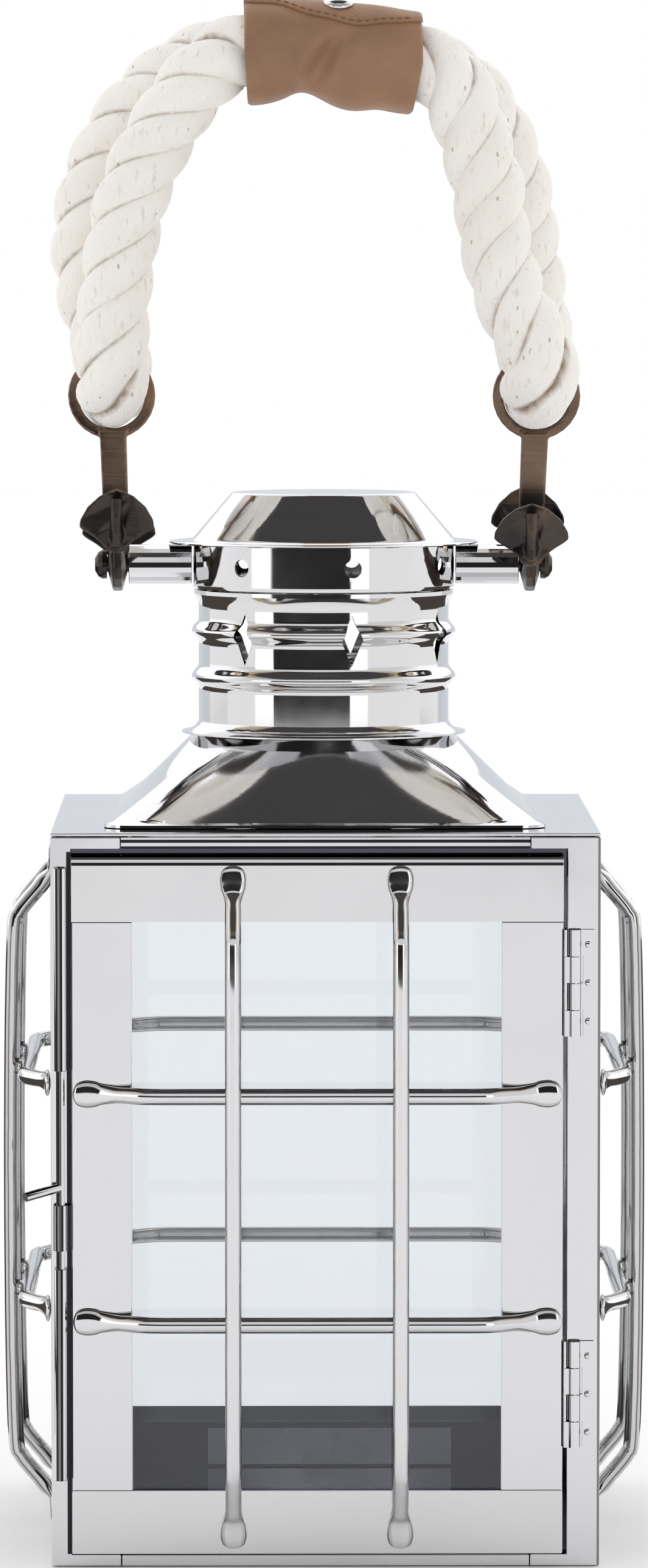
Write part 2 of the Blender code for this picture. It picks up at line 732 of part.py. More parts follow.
def rope(look):
    """One length of rope doubled through both anchor eyes; its ends meet inside the sleeve."""

    def turn_round(side, order):
        """The route through an eye; order is -1 from front to back and 1 from back to front."""
        bend = 0.0165
        path = []
        for degrees in (0, 45, 90, 135, 180):
            a = math.radians(degrees)
            across = order * bend * math.cos(a)
            point = eye_point(side, across, EYE_UP + bend - bend * math.sin(a))
            point.x = side * EYE_X
            path.append(point)
        return path

    def mm(*points):
        return [Vector(p) / 1000 for p in points]

    left_front = mm((3.5, -14.6, 552.4), (-29.5, -14.6, 553.3), (-45, -14.8, 544), (-60, -15, 524))
    left_front += mm((-70.5, -14.5, 502), (-75.5, -12.5, 480), (-78, -9.5, 461))
    left_back = mm((-86, 23, 459), (-89, 19, 482), (-84.5, 16, 507), (-71, 15, 531), (-51, 14.8, 548))
    top_back = mm((-29.5, 14.6, 553.7), (3.5, 14.6, 552.6), (36.5, 14.6, 548.5))
    right_back = mm((52, 14.8, 541.5), (64.5, 15, 524), (72, 15, 503), (75.5, 13.5, 481), (78, 9.5, 461))
    right_front = mm((70.5, -23, 459), (64, -18.5, 481), (61, -15.5, 502), (55.5, -15, 522))
    right_front += mm((48.5, -14.8, 540), (36.5, -14.6, 548.5))
    start = left_front + turn_round(-1, -1)
    points = start + left_back + top_back + right_back
    eye_at = {len(left_front) + 2: 0.0115, len(points) + 2: 0.0115}
    for i in (1, 3):
        eye_at[len(left_front) + i] = eye_at[len(points) + i] = 0.0126
    points += turn_round(1, 1) + right_front

    per_span = 2
    line = smooth_route(points, per_span, closed=True)
    radii = []
    for i in range(len(line)):
        a, b = eye_at.get(i // per_span, ROPE), eye_at.get((i // per_span + 1) % len(points), ROPE)
        radii.append(a + (b - a) * (i % per_span) / per_span)
    return add_object("rope_grip", tube_along(line, radii, ROPE_SIDES), look)


def tube_along(line, radii, sides):
    """A closed loop of tube; its rings turn as little as they can and meet where they began."""
    count = len(line)
    tangents = [(line[(i + 1) % count] - line[i - 1]).normalized() for i in range(count)]
    side = tangents[0].orthogonal().normalized()
    frames = [side]
    for i in range(1, count):
        side = frames[-1] - tangents[i] * frames[-1].dot(tangents[i])
        frames.append(side.normalized())
    last = frames[-1] - tangents[0] * frames[-1].dot(tangents[0])
    last.normalize()
    drift = math.atan2(last.cross(frames[0]).dot(tangents[0]), last.dot(frames[0]))
    rings = []
    for i, (point, way, across, radius) in enumerate(zip(line, tangents, frames, radii)):
        across = Matrix.Rotation(drift * i / count, 3, way) @ across
        rings.append(circle(point, across, way.cross(across), radius, radius, sides))
    return loft(rings, closed=True)


def sleeve(look):
    """The leather wrap round both runs of rope, a thick-walled tube that is open at both ends."""
    places = [(-0.0295, 0.5535), (-0.0130, 0.5537), (0.0035, 0.5525), (0.0200, 0.5509), (0.0365, 0.5485)]

    def section(radius, x, z, count=32):
        ring = []
        for i in range(count):
            a = math.tau * (i + 0.5) / count
            c, side = math.cos(a), math.copysign(ROPE_APART, math.cos(a))
            ring.append(Vector((x, side + radius * c, z + radius * math.sin(a))))
        return ring

    outer = [section(SLEEVE_RADIUS, x, z) for x, z in places]
    inner = [section(SLEEVE_RADIUS - LEATHER, x, z) for x, z in places[::-1]]
    return add_object("leather_sleeve", loft(outer + inner, closed=True), look)


def stud(look):
    profile = [(0.0003, 0.0022), (0.0035, 0.0022), (0.0052, 0.0014), (0.0055, 0), (0.0003, 0)]
    made = turned("sleeve_snap", profile, look, segments=20)
    join(made, bar("snap_middle_guide", (0, 0, 0), (0, 0, 0.0022), 0.0020, look, 12))
    reach = SLEEVE_RADIUS + 2 * GAP
    x, z = STUD_PLACE
    place = (x, -ROPE_APART - reach * math.sin(STUD_LEAN), z + reach * math.cos(STUD_LEAN))
    for piece in (made, made.modifiers[0].object):
        piece.location = place
        piece.rotation_euler.x = STUD_LEAN
    return made


def pivots(steel, bronze):
    """A spacer from the collar to each anchor, and the slotted screw that the anchor turns on."""
    seat = ANCHOR_X + 0.0038 + GAP
    dome = [(seat, 0.0054), (seat + 0.0016, 0.0055), (seat + 0.0032, 0.0046), (seat + 0.0044, 0.0026)]
    y_way, z_way = Vector((0, 1, 0)), Vector((0, 0, 1))
    for side, label in ((-1, "left"), (1, "right")):

        def along(x):
            return Vector((side * x, 0, PIVOT_Z))

        spacer = bar("pivot_spacer_" + label, along(0.0494), along(0.0730), 0.00745, steel, 24)
        cut(spacer, bar("bore_" + label, along(0.045), along(0.080), 0.0033, steel, 14))
        screw = bar("pivot_screw_" + label, along(0.0600), along(seat + 0.001), 0.0030, bronze, 14)
        rings = [circle(along(x), y_way, z_way, radius, radius, 20) for x, radius in dome]
        join(screw, add_object("screw_head_guide_" + label, loft(rings), bronze))
        xs = sorted((side * (seat + 0.0030), side * (seat + 0.0060)))
        low, high = (xs[0], -0.0007, PIVOT_Z - 0.008), (xs[1], 0.0007, PIVOT_Z + 0.008)
        cut(screw, box("slot_guide_" + label, low, high, bronze))


def handle(all_looks):
    axis = empty("handle_axis", (0, 0, PIVOT_Z))
    ride([anchor(-1, all_looks["bronze"]), anchor(1, all_looks["bronze"])], axis)
    ride([rope(all_looks["rope"]), sleeve(all_looks["leather"]), stud(all_looks["steel"])], axis)


def main():
    clear_scene()
    all_looks = looks()
    steel, glass = all_looks["steel"], all_looks["glass"]
    posts(steel)
    strips(steel)
    body_plates(steel)
    side_glass(glass)
    hood(steel)
    chimney(steel)
    collar(steel)
    cap(steel)
    side_guards(steel)
    door(steel, glass)
    latch(steel)
    pivots(steel, all_looks["bronze"])
    handle(all_looks)


main()
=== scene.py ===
"""Looks of the ship lantern: polished steel, glass, laid rope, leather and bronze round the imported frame.

Metres, +Z up, in the frame's own coordinates: the door faces -Y and hinges at +X.
"""

import math

import bmesh
import bpy
from mathutils import Matrix, Vector, noise


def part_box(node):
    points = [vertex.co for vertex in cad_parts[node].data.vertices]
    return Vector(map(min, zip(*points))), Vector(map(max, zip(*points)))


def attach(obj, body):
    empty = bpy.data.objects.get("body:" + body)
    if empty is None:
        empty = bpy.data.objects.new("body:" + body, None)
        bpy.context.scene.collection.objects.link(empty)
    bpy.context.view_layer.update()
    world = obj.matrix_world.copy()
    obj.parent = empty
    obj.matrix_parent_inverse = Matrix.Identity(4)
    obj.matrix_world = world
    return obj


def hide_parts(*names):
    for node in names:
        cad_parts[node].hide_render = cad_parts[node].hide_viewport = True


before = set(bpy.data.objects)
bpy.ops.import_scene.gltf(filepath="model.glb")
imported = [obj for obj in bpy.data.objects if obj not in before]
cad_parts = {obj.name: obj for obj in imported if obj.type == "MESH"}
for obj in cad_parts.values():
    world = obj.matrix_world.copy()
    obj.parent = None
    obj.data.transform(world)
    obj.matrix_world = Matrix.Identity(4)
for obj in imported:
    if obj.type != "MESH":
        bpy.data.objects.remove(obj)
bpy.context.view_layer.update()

PIVOT_Z = (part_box("pivot_spacer_left")[0][2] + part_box("pivot_spacer_left")[1][2]) / 2
DECK_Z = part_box("top_deck")[1][2]
RAIL_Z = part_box("door_top_rail")[0][2]  # lower edge of the door's top rail
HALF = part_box("top_deck")[1][0]  # half the case's width
ROUND = 168  # sides of the spun pieces


# ---------------------------------------------------------------- camera, light and floor


LENS = 176.7
CAMERA_PLACE = (-0.0212, -2.885, 0.4816)
CAMERA_DOWN = math.radians(4.01)
CAMERA_TURN = -0.0074


def camera():
    data = bpy.data.cameras.new("camera")
    data.lens = LENS
    data.clip_end = 60
    made = bpy.data.objects.new("camera", data)
    made.location = CAMERA_PLACE
    made.rotation_euler = (math.radians(90) - CAMERA_DOWN, 0, CAMERA_TURN)
    bpy.context.scene.collection.objects.link(made)
    bpy.context.scene.camera = made


def studio_world():
    """White to the camera; in reflections grey in front and whiter behind and above."""
    world = bpy.data.worlds.new("studio")
    world.use_nodes = True
    tree = world.node_tree
    tree.nodes.clear()
    out = tree.nodes.new("ShaderNodeOutputWorld")
    seen = tree.nodes.new("ShaderNodeBackground")
    seen.inputs["Color"].default_value = (1, 1, 1, 1)
    lit = tree.nodes.new("ShaderNodeBackground")
    path = tree.nodes.new("ShaderNodeLightPath")
    mix = tree.nodes.new("ShaderNodeMixShader")
    place = tree.nodes.new("ShaderNodeTexCoord")
    split = tree.nodes.new("ShaderNodeSeparateXYZ")
    ramp = tree.nodes.new("ShaderNodeValToRGB")
    ramp.color_ramp.elements[0].position = 0.40
    ramp.color_ramp.elements[0].color = (0.80, 0.80, 0.81, 1)
    ramp.color_ramp.elements[1].position = 0.62
    ramp.color_ramp.elements[1].color = (1.32, 1.32, 1.34, 1)
    half = tree.nodes.new("ShaderNodeMapRange")
    half.inputs["From Min"].default_value = -1
    tree.links.new(place.outputs["Generated"], split.inputs[0])
    tree.links.new(split.outputs["Y"], half.inputs["Value"])
    tree.links.new(half.outputs["Result"], ramp.inputs["Fac"])
    tree.links.new(ramp.outputs["Color"], lit.inputs["Color"])
    tree.links.new(path.outputs["Is Camera Ray"], mix.inputs["Fac"])
    tree.links.new(lit.outputs[0], mix.inputs[1])
    tree.links.new(seen.outputs[0], mix.inputs[2])
    tree.links.new(mix.outputs[0], out.inputs["Surface"])
    bpy.context.scene.world = world
    bpy.context.scene.view_settings.view_transform = "Standard"
    bpy.context.scene.view_settings.look = "None"


def glow(name, colour, strength):
    made = bpy.data.materials.new(name)
    made.use_nodes = True
    tree = made.node_tree
    tree.nodes.clear()
    out = tree.nodes.new("ShaderNodeOutputMaterial")
    light = tree.nodes.new("ShaderNodeEmission")
    light.inputs["Color"].default_value = (*colour, 1)
    light.inputs["Strength"].default_value = strength
    tree.links.new(light.outputs[0], out.inputs["Surface"])
    return made


def only_in_reflections(card):
    card.visible_camera = False
    card.visible_diffuse = False
    card.visible_shadow = False
    card.visible_transmission = False


ROOM = 3.6  # radius of the circle that the upright cards stand on


def curved_card(name, start, end, low, high, colour, strength):
    """An upright card on a circle round the lantern; angles in degrees from the front towards +X."""
    bm = bmesh.new()
    steps = 16
    rows = []
    for i in range(steps + 1):
        a = math.radians(start + (end - start) * i / steps)
        x, y = ROOM * math.sin(a), -ROOM * math.cos(a)
        rows.append([bm.verts.new((x, y, low)), bm.verts.new((x, y, high))])
    for one, two in zip(rows, rows[1:]):
        bm.faces.new((one[0], two[0], two[1], one[1]))
    made = finish_mesh(name, bm, glow(name, colour, strength))
    only_in_reflections(made)


def flat_card(name, low, high, z, colour, strength):
    bm = bmesh.new()
    corners = ((low[0], low[1]), (high[0], low[1]), (high[0], high[1]), (low[0], high[1]))
    bm.faces.new([bm.verts.new((x, y, z)) for x, y in corners])
    made = finish_mesh(name, bm, glow(name, colour, strength))
    only_in_reflections(made)


def floor_card(name, start, end, near, far, colour, strength):
    """A part of a ring on the floor; angles in degrees from the front towards +X."""
    bm = bmesh.new()
    steps = 20
    rows = []
    for i in range(steps + 1):
        a = math.radians(start + (end - start) * i / steps)
        rows.append([bm.verts.new((r * math.sin(a), -r * math.cos(a), 0.0004)) for r in (near, far)])
    for one, two in zip(rows, rows[1:]):
        bm.faces.new((one[0], two[0], two[1], one[1]))
    only_in_reflections(finish_mesh(name, bm, glow(name, colour, strength)))


# How far out each plank card over the lantern lies, and its strength.
PLANKS = ((1.50, 0.30), (1.60, 0.62), (1.72, 0.34), (1.82, 0.75), (1.93, 0.42), (2.02, 0.85), (2.14, 0.5))
CEILING = 2.5


def studio():
    """A white room with dark cards in front of and above the lantern, and darker floor at its sides."""
    studio_world()
    dark, white = (1, 0.95, 0.98), (1, 1, 1)
    curved_card("card_front", -47, 23.5, 0.06, 1.3, dark, 0.020)
    curved_card("card_left", -66, -47, 0.06, 1.6, white, 1.45)
    curved_card("card_right", 23.5, 40, 0.06, 1.6, white, 1.45)
    curved_card("card_back", 130, 230, 0.0, 1.0, (0.905, 0.945, 1), 0.80)
    flat_card("card_above", (-1.5, -1.9), (1.5, 0.75), CEILING, dark, 0.062)
    for side in (-1, 1):
        for out, strength in PLANKS:
            xs = sorted((side * out, side * (out + 0.12)))
            flat_card("plank_above", (xs[0], -1.9), (xs[1], 1.1), CEILING, (1, 0.83, 0.62), strength)
        ends = sorted((side * 100, side * 152))
        floor_card("side_floor", ends[0], ends[1], 0.28, 4.5, (1, 0.86, 0.74), 0.075)
    bm = bmesh.new()
    reach = 12
    corners = ((-reach, -reach), (reach, -reach), (reach, reach), (-reach, reach))
    bm.faces.new([bm.verts.new((x, y, -0.0004)) for x, y in corners])
    look = bpy.data.materials.new("floor")
    look.use_nodes = True
    shader = look.node_tree.nodes["Principled BSDF"]
    shader.inputs["Base Color"].default_value = (0.955, 0.95, 0.945, 1)
    shader.inputs["Roughness"].default_value = 0.8
    finish_mesh("floor", bm, look)


# ---------------------------------------------------------------- mesh helpers


def finish_mesh(name, bm, look, sharp=35):
    bmesh.ops.recalc_face_normals(bm, faces=bm.faces)
    mesh = bpy.data.meshes.new(name)
    bm.to_mesh(mesh)
    bm.free()
    mesh.materials.append(look)
    mesh.shade_smooth()
    mesh.set_sharp_from_angle(angle=math.radians(sharp))
    made = bpy.data.objects.new(name, mesh)
    bpy.context.scene.collection.objects.link(made)
    return made


def bridge(bm, rings, closed=False):
    pairs = list(zip(rings, rings[1:]))
    if closed:
        pairs.append((rings[-1], rings[0]))
    for one, two in pairs:
        count = len(one)
        for i in range(count):
            j = (i + 1) % count
            bm.faces.new((one[i], one[j], two[j], two[i]))


def loft(bm, rings_of_points, closed=False):
    """A skin over rings of points, closed into a ring itself or capped at both ends."""
    rings = [[bm.verts.new(p) for p in ring] for ring in rings_of_points]
    bridge(bm, rings, closed)
    if not closed:
        bm.faces.new(rings[0])
        bm.faces.new(rings[-1])
    return rings


def turned(name, profile, look, segments=ROUND, sharp=35):
    """Turn a closed profile of (radius, z) points about the upright axis."""
    bm = bmesh.new()
    rings = []
    for i in range(segments):
        a = math.tau * i / segments
        rings.append([bm.verts.new((r * math.cos(a), r * math.sin(a), z)) for r, z in profile])
    bridge(bm, rings, closed=True)
    return finish_mesh(name, bm, look, sharp)


def ellipse(centre, across, other, half_a, half_b, sides):
    ring = []
    for i in range(sides):
        a = math.tau * (i + 0.5) / sides
        ring.append(centre + across * (half_a * math.cos(a)) + other * (half_b * math.sin(a)))
    return ring


def arc(centre, radius, start, end, steps):
    points = []
    for i in range(steps + 1):
        a = math.radians(start + (end - start) * i / steps)
        points.append((centre[0] + radius * math.cos(a), centre[1] + radius * math.sin(a)))
    return points


def spline(values, per_span, closed=False):
    """Catmull-Rom through vectors of any length."""
    count = len(values)
    spans = count if closed else count - 1
    out = []
    for i in range(spans):
        if closed:
            p0, p1, p2, p3 = (values[(i + k - 1) % count] for k in range(4))
        else:
            p0, p1, p2, p3 = (values[min(max(i + k - 1, 0), count - 1)] for k in range(4))
        for step in range(per_span):
            t = step / per_span
            out.append(
                0.5
                * (
                    2 * p1
                    + (p2 - p0) * t
                    + (2 * p0 - 5 * p1 + 4 * p2 - p3) * t**2
                    + (3 * p1 - p0 - 3 * p2 + p3) * t**3
                )
            )
    if not closed:
        out.append(values[-1].copy())
    return out


def cut(target, cutter):
    change = target.modifiers.new("cut", "BOOLEAN")
    change.operation = "DIFFERENCE"
    change.solver = "EXACT"
    change.object = cutter
    evaluated = target.evaluated_get(bpy.context.evaluated_depsgraph_get())
    mesh = bpy.data.meshes.new_from_object(evaluated)
    target.modifiers.clear()
    old = target.data
    target.data = mesh
    bpy.data.meshes.remove(old)
    bpy.data.objects.remove(cutter, do_unlink=True)


def resharp(made):
    made.data.shade_smooth()
    made.data.set_sharp_from_angle(angle=math.radians(30))


# ---------------------------------------------------------------- materials


class Look:
    """A Principled material with short calls for its nodes."""

    def __init__(self, name, colour, roughness, metallic, **sockets):
        self.material = bpy.data.materials.new(name)
        self.material.use_nodes = True
        self.tree = self.material.node_tree
        self.shader = self.tree.nodes["Principled BSDF"]
        self.set("Base Color", (*colour, 1))
        self.set("Roughness", roughness)
        self.set("Metallic", metallic)
        for key, value in sockets.items():
            self.set(key.replace("_", " "), value)
        self.coords = self.node("ShaderNodeTexCoord").outputs["Object"]

    def set(self, socket, value):
        self.shader.inputs[socket].default_value = value

    def node(self, kind, **values):
        made = self.tree.nodes.new(kind)
        for key, value in values.items():
            if key in made.inputs:
                made.inputs[key].default_value = value
            else:
                setattr(made, key, value)
        return made

    def link(self, source, target):
        self.tree.links.new(source, target)

    def noise(self, scale, detail=3.0, stretch=None):
        """A noise value, on coordinates stretched by three factors."""
        source = self.coords
        if stretch:
            mapping = self.node("ShaderNodeMapping")
            mapping.inputs["Scale"].default_value = stretch
            self.link(source, mapping.inputs["Vector"])
            source = mapping.outputs["Vector"]
        made = self.node("ShaderNodeTexNoise", Scale=scale, Detail=detail)
        self.link(source, made.inputs["Vector"])
        return made.outputs["Fac"]

    def ramp(self, source, *stops):
        made = self.node("ShaderNodeValToRGB")
        elements = made.color_ramp.elements
        while len(elements) < len(stops):
            elements.new(0.5)
        for element, (place, colour) in zip(elements, stops):
            element.position = place
            element.color = (*colour, 1) if len(colour) == 3 else colour
        self.link(source, made.inputs["Fac"])
        return made.outputs["Color"]

    def grade(self, source, low, high, start=0.0, end=1.0):
        made = self.node("ShaderNodeMapRange")
        for key, value in (("From Min", start), ("From Max", end), ("To Min", low), ("To Max", high)):
            made.inputs[key].default_value = value
        self.link(source, made.inputs["Value"])
        return made.outputs["Result"]

    def math(self, operation, a, b):
        made = self.node("ShaderNodeMath", operation=operation)
        for i, value in enumerate((a, b)):
            if isinstance(value, (int, float)):
                made.inputs[i].default_value = value
            else:
                self.link(value, made.inputs[i])
        return made.outputs[0]

    def blend(self, factor, one, two):
        made = self.node("ShaderNodeMix", data_type="RGBA")
        for socket, value in ((0, factor), (6, one), (7, two)):
            if isinstance(value, (int, float)):
                made.inputs[socket].default_value = value
            elif isinstance(value, tuple):
                made.inputs[socket].default_value = (*value, 1)
            else:
                self.link(value, made.inputs[socket])
        return made.outputs[2]

    def bump(self, height, strength, distance, before=None):
        made = self.node("ShaderNodeBump", Strength=strength, Distance=distance)
        self.link(height, made.inputs["Height"])
        if before:
            self.link(before, made.inputs["Normal"])
        self.link(made.outputs["Normal"], self.shader.inputs["Normal"])
        return made.outputs["Normal"]


STEEL = (0.745, 0.748, 0.760)
# Painted shade: the dark colour for faces that look into the lantern's shaded inside.
INSIDE_SHADE = (0.085, 0.085, 0.105)
# Colours of the painted shade and painted reflection lines on the steel.
PAINTED_BLACK = (0.025, 0.024, 0.026)
PAINTED_GREY = (0.22, 0.21, 0.21)
INSIDE_Y = -0.0995  # behind this a front-facing surface faces the lantern's inside


def steel(name="polished_steel", colour=STEEL, roughness=0.05, wave=0.0006):
    """Mirror-polished sheet: faint smears, hairline polish marks and a slight unevenness."""
    look = Look(name, colour, roughness, 1.0)
    smear = look.noise(26, 4)
    dirt = look.noise(7, 2)
    warmer = tuple(c * f for c, f in zip(colour, (0.965, 0.955, 0.94)))
    look.link(look.ramp(dirt, (0.35, colour), (0.75, warmer)), look.shader.inputs["Base Color"])
    dulled = look.grade(smear, roughness * 0.6, roughness * 1.9, 0.35, 0.7)
    look.link(dulled, look.shader.inputs["Roughness"])
    hair = look.bump(look.noise(900, 1, (1, 1, 0.05)), 0.02, 0.0002)
    look.bump(look.noise(11, 1), 1.0, wave, hair)
    return look.material


def glass_look():
    look = Look("window_glass", (0.878, 0.900, 0.918), 0.01, 0.0, Transmission_Weight=1.0, IOR=1.45)
    smear = look.noise(15, 4)
    look.link(look.grade(smear, 0.0, 0.05, 0.45, 0.8), look.shader.inputs["Roughness"])
    return look.material


def bronze_look(foot):
    """Filed bronze: brown on the shanks, darker below foot, with coppery patches and file marks."""
    look = Look("aged_bronze", (0.17, 0.13, 0.09), 0.38, 1.0)
    split = look.node("ShaderNodeSeparateXYZ")
    look.link(look.coords, split.inputs[0])
    patch = look.noise(60, 5)
    browns = ((0.30, (0.150, 0.104, 0.076)), (0.60, (0.225, 0.156, 0.112)), (0.85, (0.36, 0.21, 0.13)))
    darks = ((0.30, (0.040, 0.036, 0.038)), (0.60, (0.080, 0.066, 0.056)), (0.82, (0.20, 0.14, 0.09)))
    light, deep = look.ramp(patch, *browns), look.ramp(patch, *darks)
    high = look.grade(look.math("SUBTRACT", split.outputs["Z"], foot), 0.0, 1.0, -0.002, 0.003)
    look.link(look.blend(high, deep, light), look.shader.inputs["Base Color"])
    look.link(look.grade(patch, 0.22, 0.42, 0.3, 0.7), look.shader.inputs["Roughness"])
    marks = look.bump(look.noise(260, 2, (0.10, 0.10, 3.0)), 0.22, 0.0003)
    look.bump(look.noise(90, 3), 0.25, 0.0005, marks)
    return look.material


def shaded(name, *rules):
    """Polished steel with painted dark lines of shade and reflection: each rule is a tone, a softness and
    the bands it is confined to.

    A band is what it reads ("normal" or "place"), the axis, and its two ends.
    """
    look = Look(name, STEEL, 0.06, 1.0)
    normal = look.node("ShaderNodeSeparateXYZ")
    spot = look.node("ShaderNodeSeparateXYZ")
    look.link(look.node("ShaderNodeTexCoord").outputs["Normal"], normal.inputs[0])
    look.link(look.coords, spot.inputs[0])
    colour = STEEL
    for tone, soft, *bands in rules:
        amount = 1.0
        for source, axis, low, high in bands:
            value = (normal if source == "normal" else spot).outputs[axis]
            for start, end in ((low - soft, low), (high + soft, high)):
                amount = look.math("MULTIPLY", amount, look.grade(value, 0.0, 1.0, start, end))
        colour = look.blend(amount, colour, tone)
    look.link(colour, look.shader.inputs["Base Color"])
    look.link(look.grade(look.noise(26, 4), 0.03, 0.11, 0.35, 0.7), look.shader.inputs["Roughness"])
    look.bump(look.noise(11, 1), 1.0, 0.0006)
    return look.material


def rod_look():
    """Polished rod with painted reflections: dark streaks and greyer flanks either side of the bright line
    along its outer side.
    """
    look = Look("guard_rod_steel", STEEL, 0.07, 1.0)
    split = look.node("ShaderNodeSeparateXYZ")
    look.link(look.node("ShaderNodeUVMap", uv_map="flank").outputs["UV"], split.inputs[0])
    flank = look.math("ADD", split.outputs["Y"], look.grade(look.noise(60, 2), -0.02, 0.02, 0.3, 0.7))
    # Painted reflections: by the flank UV, bright along the outer side, dark streaks and greyer flanks
    # round the rest.
    soft, line, light = (0.56, 0.545, 0.53), (0.17, 0.16, 0.155), (0.66, 0.65, 0.64)
    stops = ((0.10, STEEL), (0.16, soft), (0.235, soft), (0.27, line), (0.31, line), (0.36, light))
    stops += ((0.62, light), (0.71, line), (0.75, line), (0.82, soft), (1.0, soft))
    look.link(look.ramp(flank, *stops), look.shader.inputs["Base Color"])
    look.link(look.grade(look.noise(40, 4), 0.04, 0.13, 0.35, 0.7), look.shader.inputs["Roughness"])
    look.bump(look.noise(30, 2), 0.6, 0.0004)
    return look.material


def rope_look():
    """Off-white cotton: fine yarns across each strand, brown painted shade in the creases between strands,
    and stray flecks.
    """
    look = Look("cotton_rope", (0.90, 0.875, 0.83), 0.92, 0.0, Sheen_Weight=0.25, Sheen_Roughness=0.6)
    strand = look.node("ShaderNodeUVMap", uv_map="strand").outputs["UV"]
    split = look.node("ShaderNodeSeparateXYZ")
    look.link(strand, split.inputs[0])
    along, around = split.outputs["X"], split.outputs["Y"]
    phase = look.math("ADD", look.math("MULTIPLY", along, 70.0), look.math("MULTIPLY", around, 34.0))
    phase = look.math("ADD", phase, look.math("MULTIPLY", look.noise(120, 3), 3.5))
    wave = look.math("SINE", look.math("MULTIPLY", phase, math.tau), 0.0)
    yarn = look.grade(wave, 0.0, 1.0, -1.0, 1.0)
    fibre = look.noise(1100, 4)
    base = look.ramp(look.noise(40, 3), (0.30, (0.935, 0.892, 0.825)), (0.70, (0.970, 0.942, 0.895)))
    # Painted shade: brown darkening on each strand's side away from the rope's outside, where the strands
    # press together.
    inward = look.math("COSINE", look.math("MULTIPLY", around, math.tau), 0.0)
    crease = look.grade(inward, 0.92, 0.0, 0.18, 0.50)
    soft = look.math("MULTIPLY", crease, look.grade(look.noise(260, 3), 0.45, 1.0, 0.35, 0.6))
    shade_in_creases = look.blend(soft, base, (0.31, 0.215, 0.135))
    hair = look.noise(500, 2, (1, 1, 0.22))
    streaked = look.blend(look.grade(hair, 0.0, 0.35, 0.60, 0.72), shade_in_creases, (0.55, 0.46, 0.34))
    fleck = look.node("ShaderNodeTexVoronoi", Scale=420.0)
    stretched = look.node("ShaderNodeMapping")
    stretched.inputs["Scale"].default_value = (1, 1, 0.45)
    look.link(look.coords, stretched.inputs["Vector"])
    look.link(stretched.outputs["Vector"], fleck.inputs["Vector"])
    chance = look.node("ShaderNodeSeparateColor")
    look.link(fleck.outputs["Color"], chance.inputs[0])
    near = look.math("LESS_THAN", fleck.outputs["Distance"], 0.20)
    spot = look.math("MULTIPLY", near, look.math("GREATER_THAN", chance.outputs[0], 0.93))
    final = look.blend(look.math("MULTIPLY", spot, 0.6), streaked, (0.33, 0.22, 0.13))
    look.link(final, look.shader.inputs["Base Color"])
    coarse = look.bump(yarn, 0.28, 0.0005)
    look.bump(fibre, 0.35, 0.0005, coarse)
    return look.material


def leather_look():
    """Smooth brown leather, mottled, with a fine pebbled grain."""
    colour = (0.325, 0.176, 0.096)
    look = Look("brown_leather", colour, 0.5, 0.0, Specular_IOR_Level=0.45)
    mottle = look.noise(38, 4)
    lighter = tuple(c * 1.22 for c in colour)
    darker = tuple(c * 0.78 for c in colour)
    tone = look.ramp(mottle, (0.3, darker), (0.55, colour), (0.8, lighter))
    look.link(tone, look.shader.inputs["Base Color"])
    look.link(look.grade(look.noise(20, 3), 0.38, 0.62, 0.3, 0.7), look.shader.inputs["Roughness"])
    grain = look.node("ShaderNodeTexVoronoi", Scale=620.0, feature="DISTANCE_TO_EDGE")
    look.link(look.coords, grain.inputs["Vector"])
    fine = look.bump(grain.outputs["Distance"], 0.30, 0.0006)
    look.bump(look.noise(75, 3), 0.35, 0.0012, fine)
    return look.material


def thread_look():
    look = Look("brown_thread", (0.20, 0.12, 0.075), 0.8, 0.0)
    look.bump(look.noise(1500, 2), 0.4, 0.0003)
    return look.material


# ---------------------------------------------------------------- spun pieces


VENTS = 7
VENT_START = math.radians(12.5)
VENT_DIAMOND = [(0, -0.0095), (0.0040, 0), (0, 0.0095), (-0.0040, 0)]
VENT_ROUND = 0.0033  # radius of the collar's vents
FLUE = 0.0469
SHEET = 0.0010  # thickness of the spun walls
BEAD = 0.0495
BEAD_HALF = 0.0046  # half a bead's height
BEAD_ZS = (0.3204, 0.3374)


def chimney(look):
    """The flue with its foot, two beads and diamond vents; extra rings hold each bead's flanks."""
    skirt = [(0.0532, 0.2992), (0.0532, 0.2998), (0.0515, 0.3001), (0.0496, 0.3006), (0.0480, 0.3018)]
    skirt += [(FLUE, 0.3036)]
    wall = [(FLUE, 0.3042)]
    steps = 16
    for z in BEAD_ZS:
        wall.append((FLUE, z - BEAD_HALF - 0.0006))
        for i in range(steps + 1):
            swell = 0.5 - 0.5 * math.cos(math.tau * i / steps)
            wall.append((FLUE + (BEAD - FLUE) * swell, z + BEAD_HALF * (2 * i / steps - 1)))
        wall.append((FLUE, z + BEAD_HALF + 0.0006))
    wall += [(FLUE, 0.3456), (FLUE, 0.3462), (0.0470, 0.3478), (0.0474, 0.3490), (0.0480, 0.3502)]
    wall += [(0.0486, 0.3512), (0.0486, 0.3527)]
    inner = [(r - SHEET, z) for r, z in wall]
    made = turned("chimney_shell", skirt + wall + inner[::-1] + [(0.0478, 0.2992)], look)
    for i in range(VENTS):
        bm = bmesh.new()
        loft(bm, [[(x, y, z) for x, z in VENT_DIAMOND] for y in (-0.060, -0.035)])
        cutter = finish_mesh("vent_tool", bm, look)
        turn = Matrix.Rotation(VENT_START + math.tau * i / VENTS, 4, "Z")
        cutter.matrix_world = Matrix.Translation((0, 0, BEAD_ZS[1] - 0.0021)) @ turn
        bpy.context.view_layer.update()
        cut(made, cutter)
    resharp(made)
    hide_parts("chimney")
    place(made, "case", "steel")


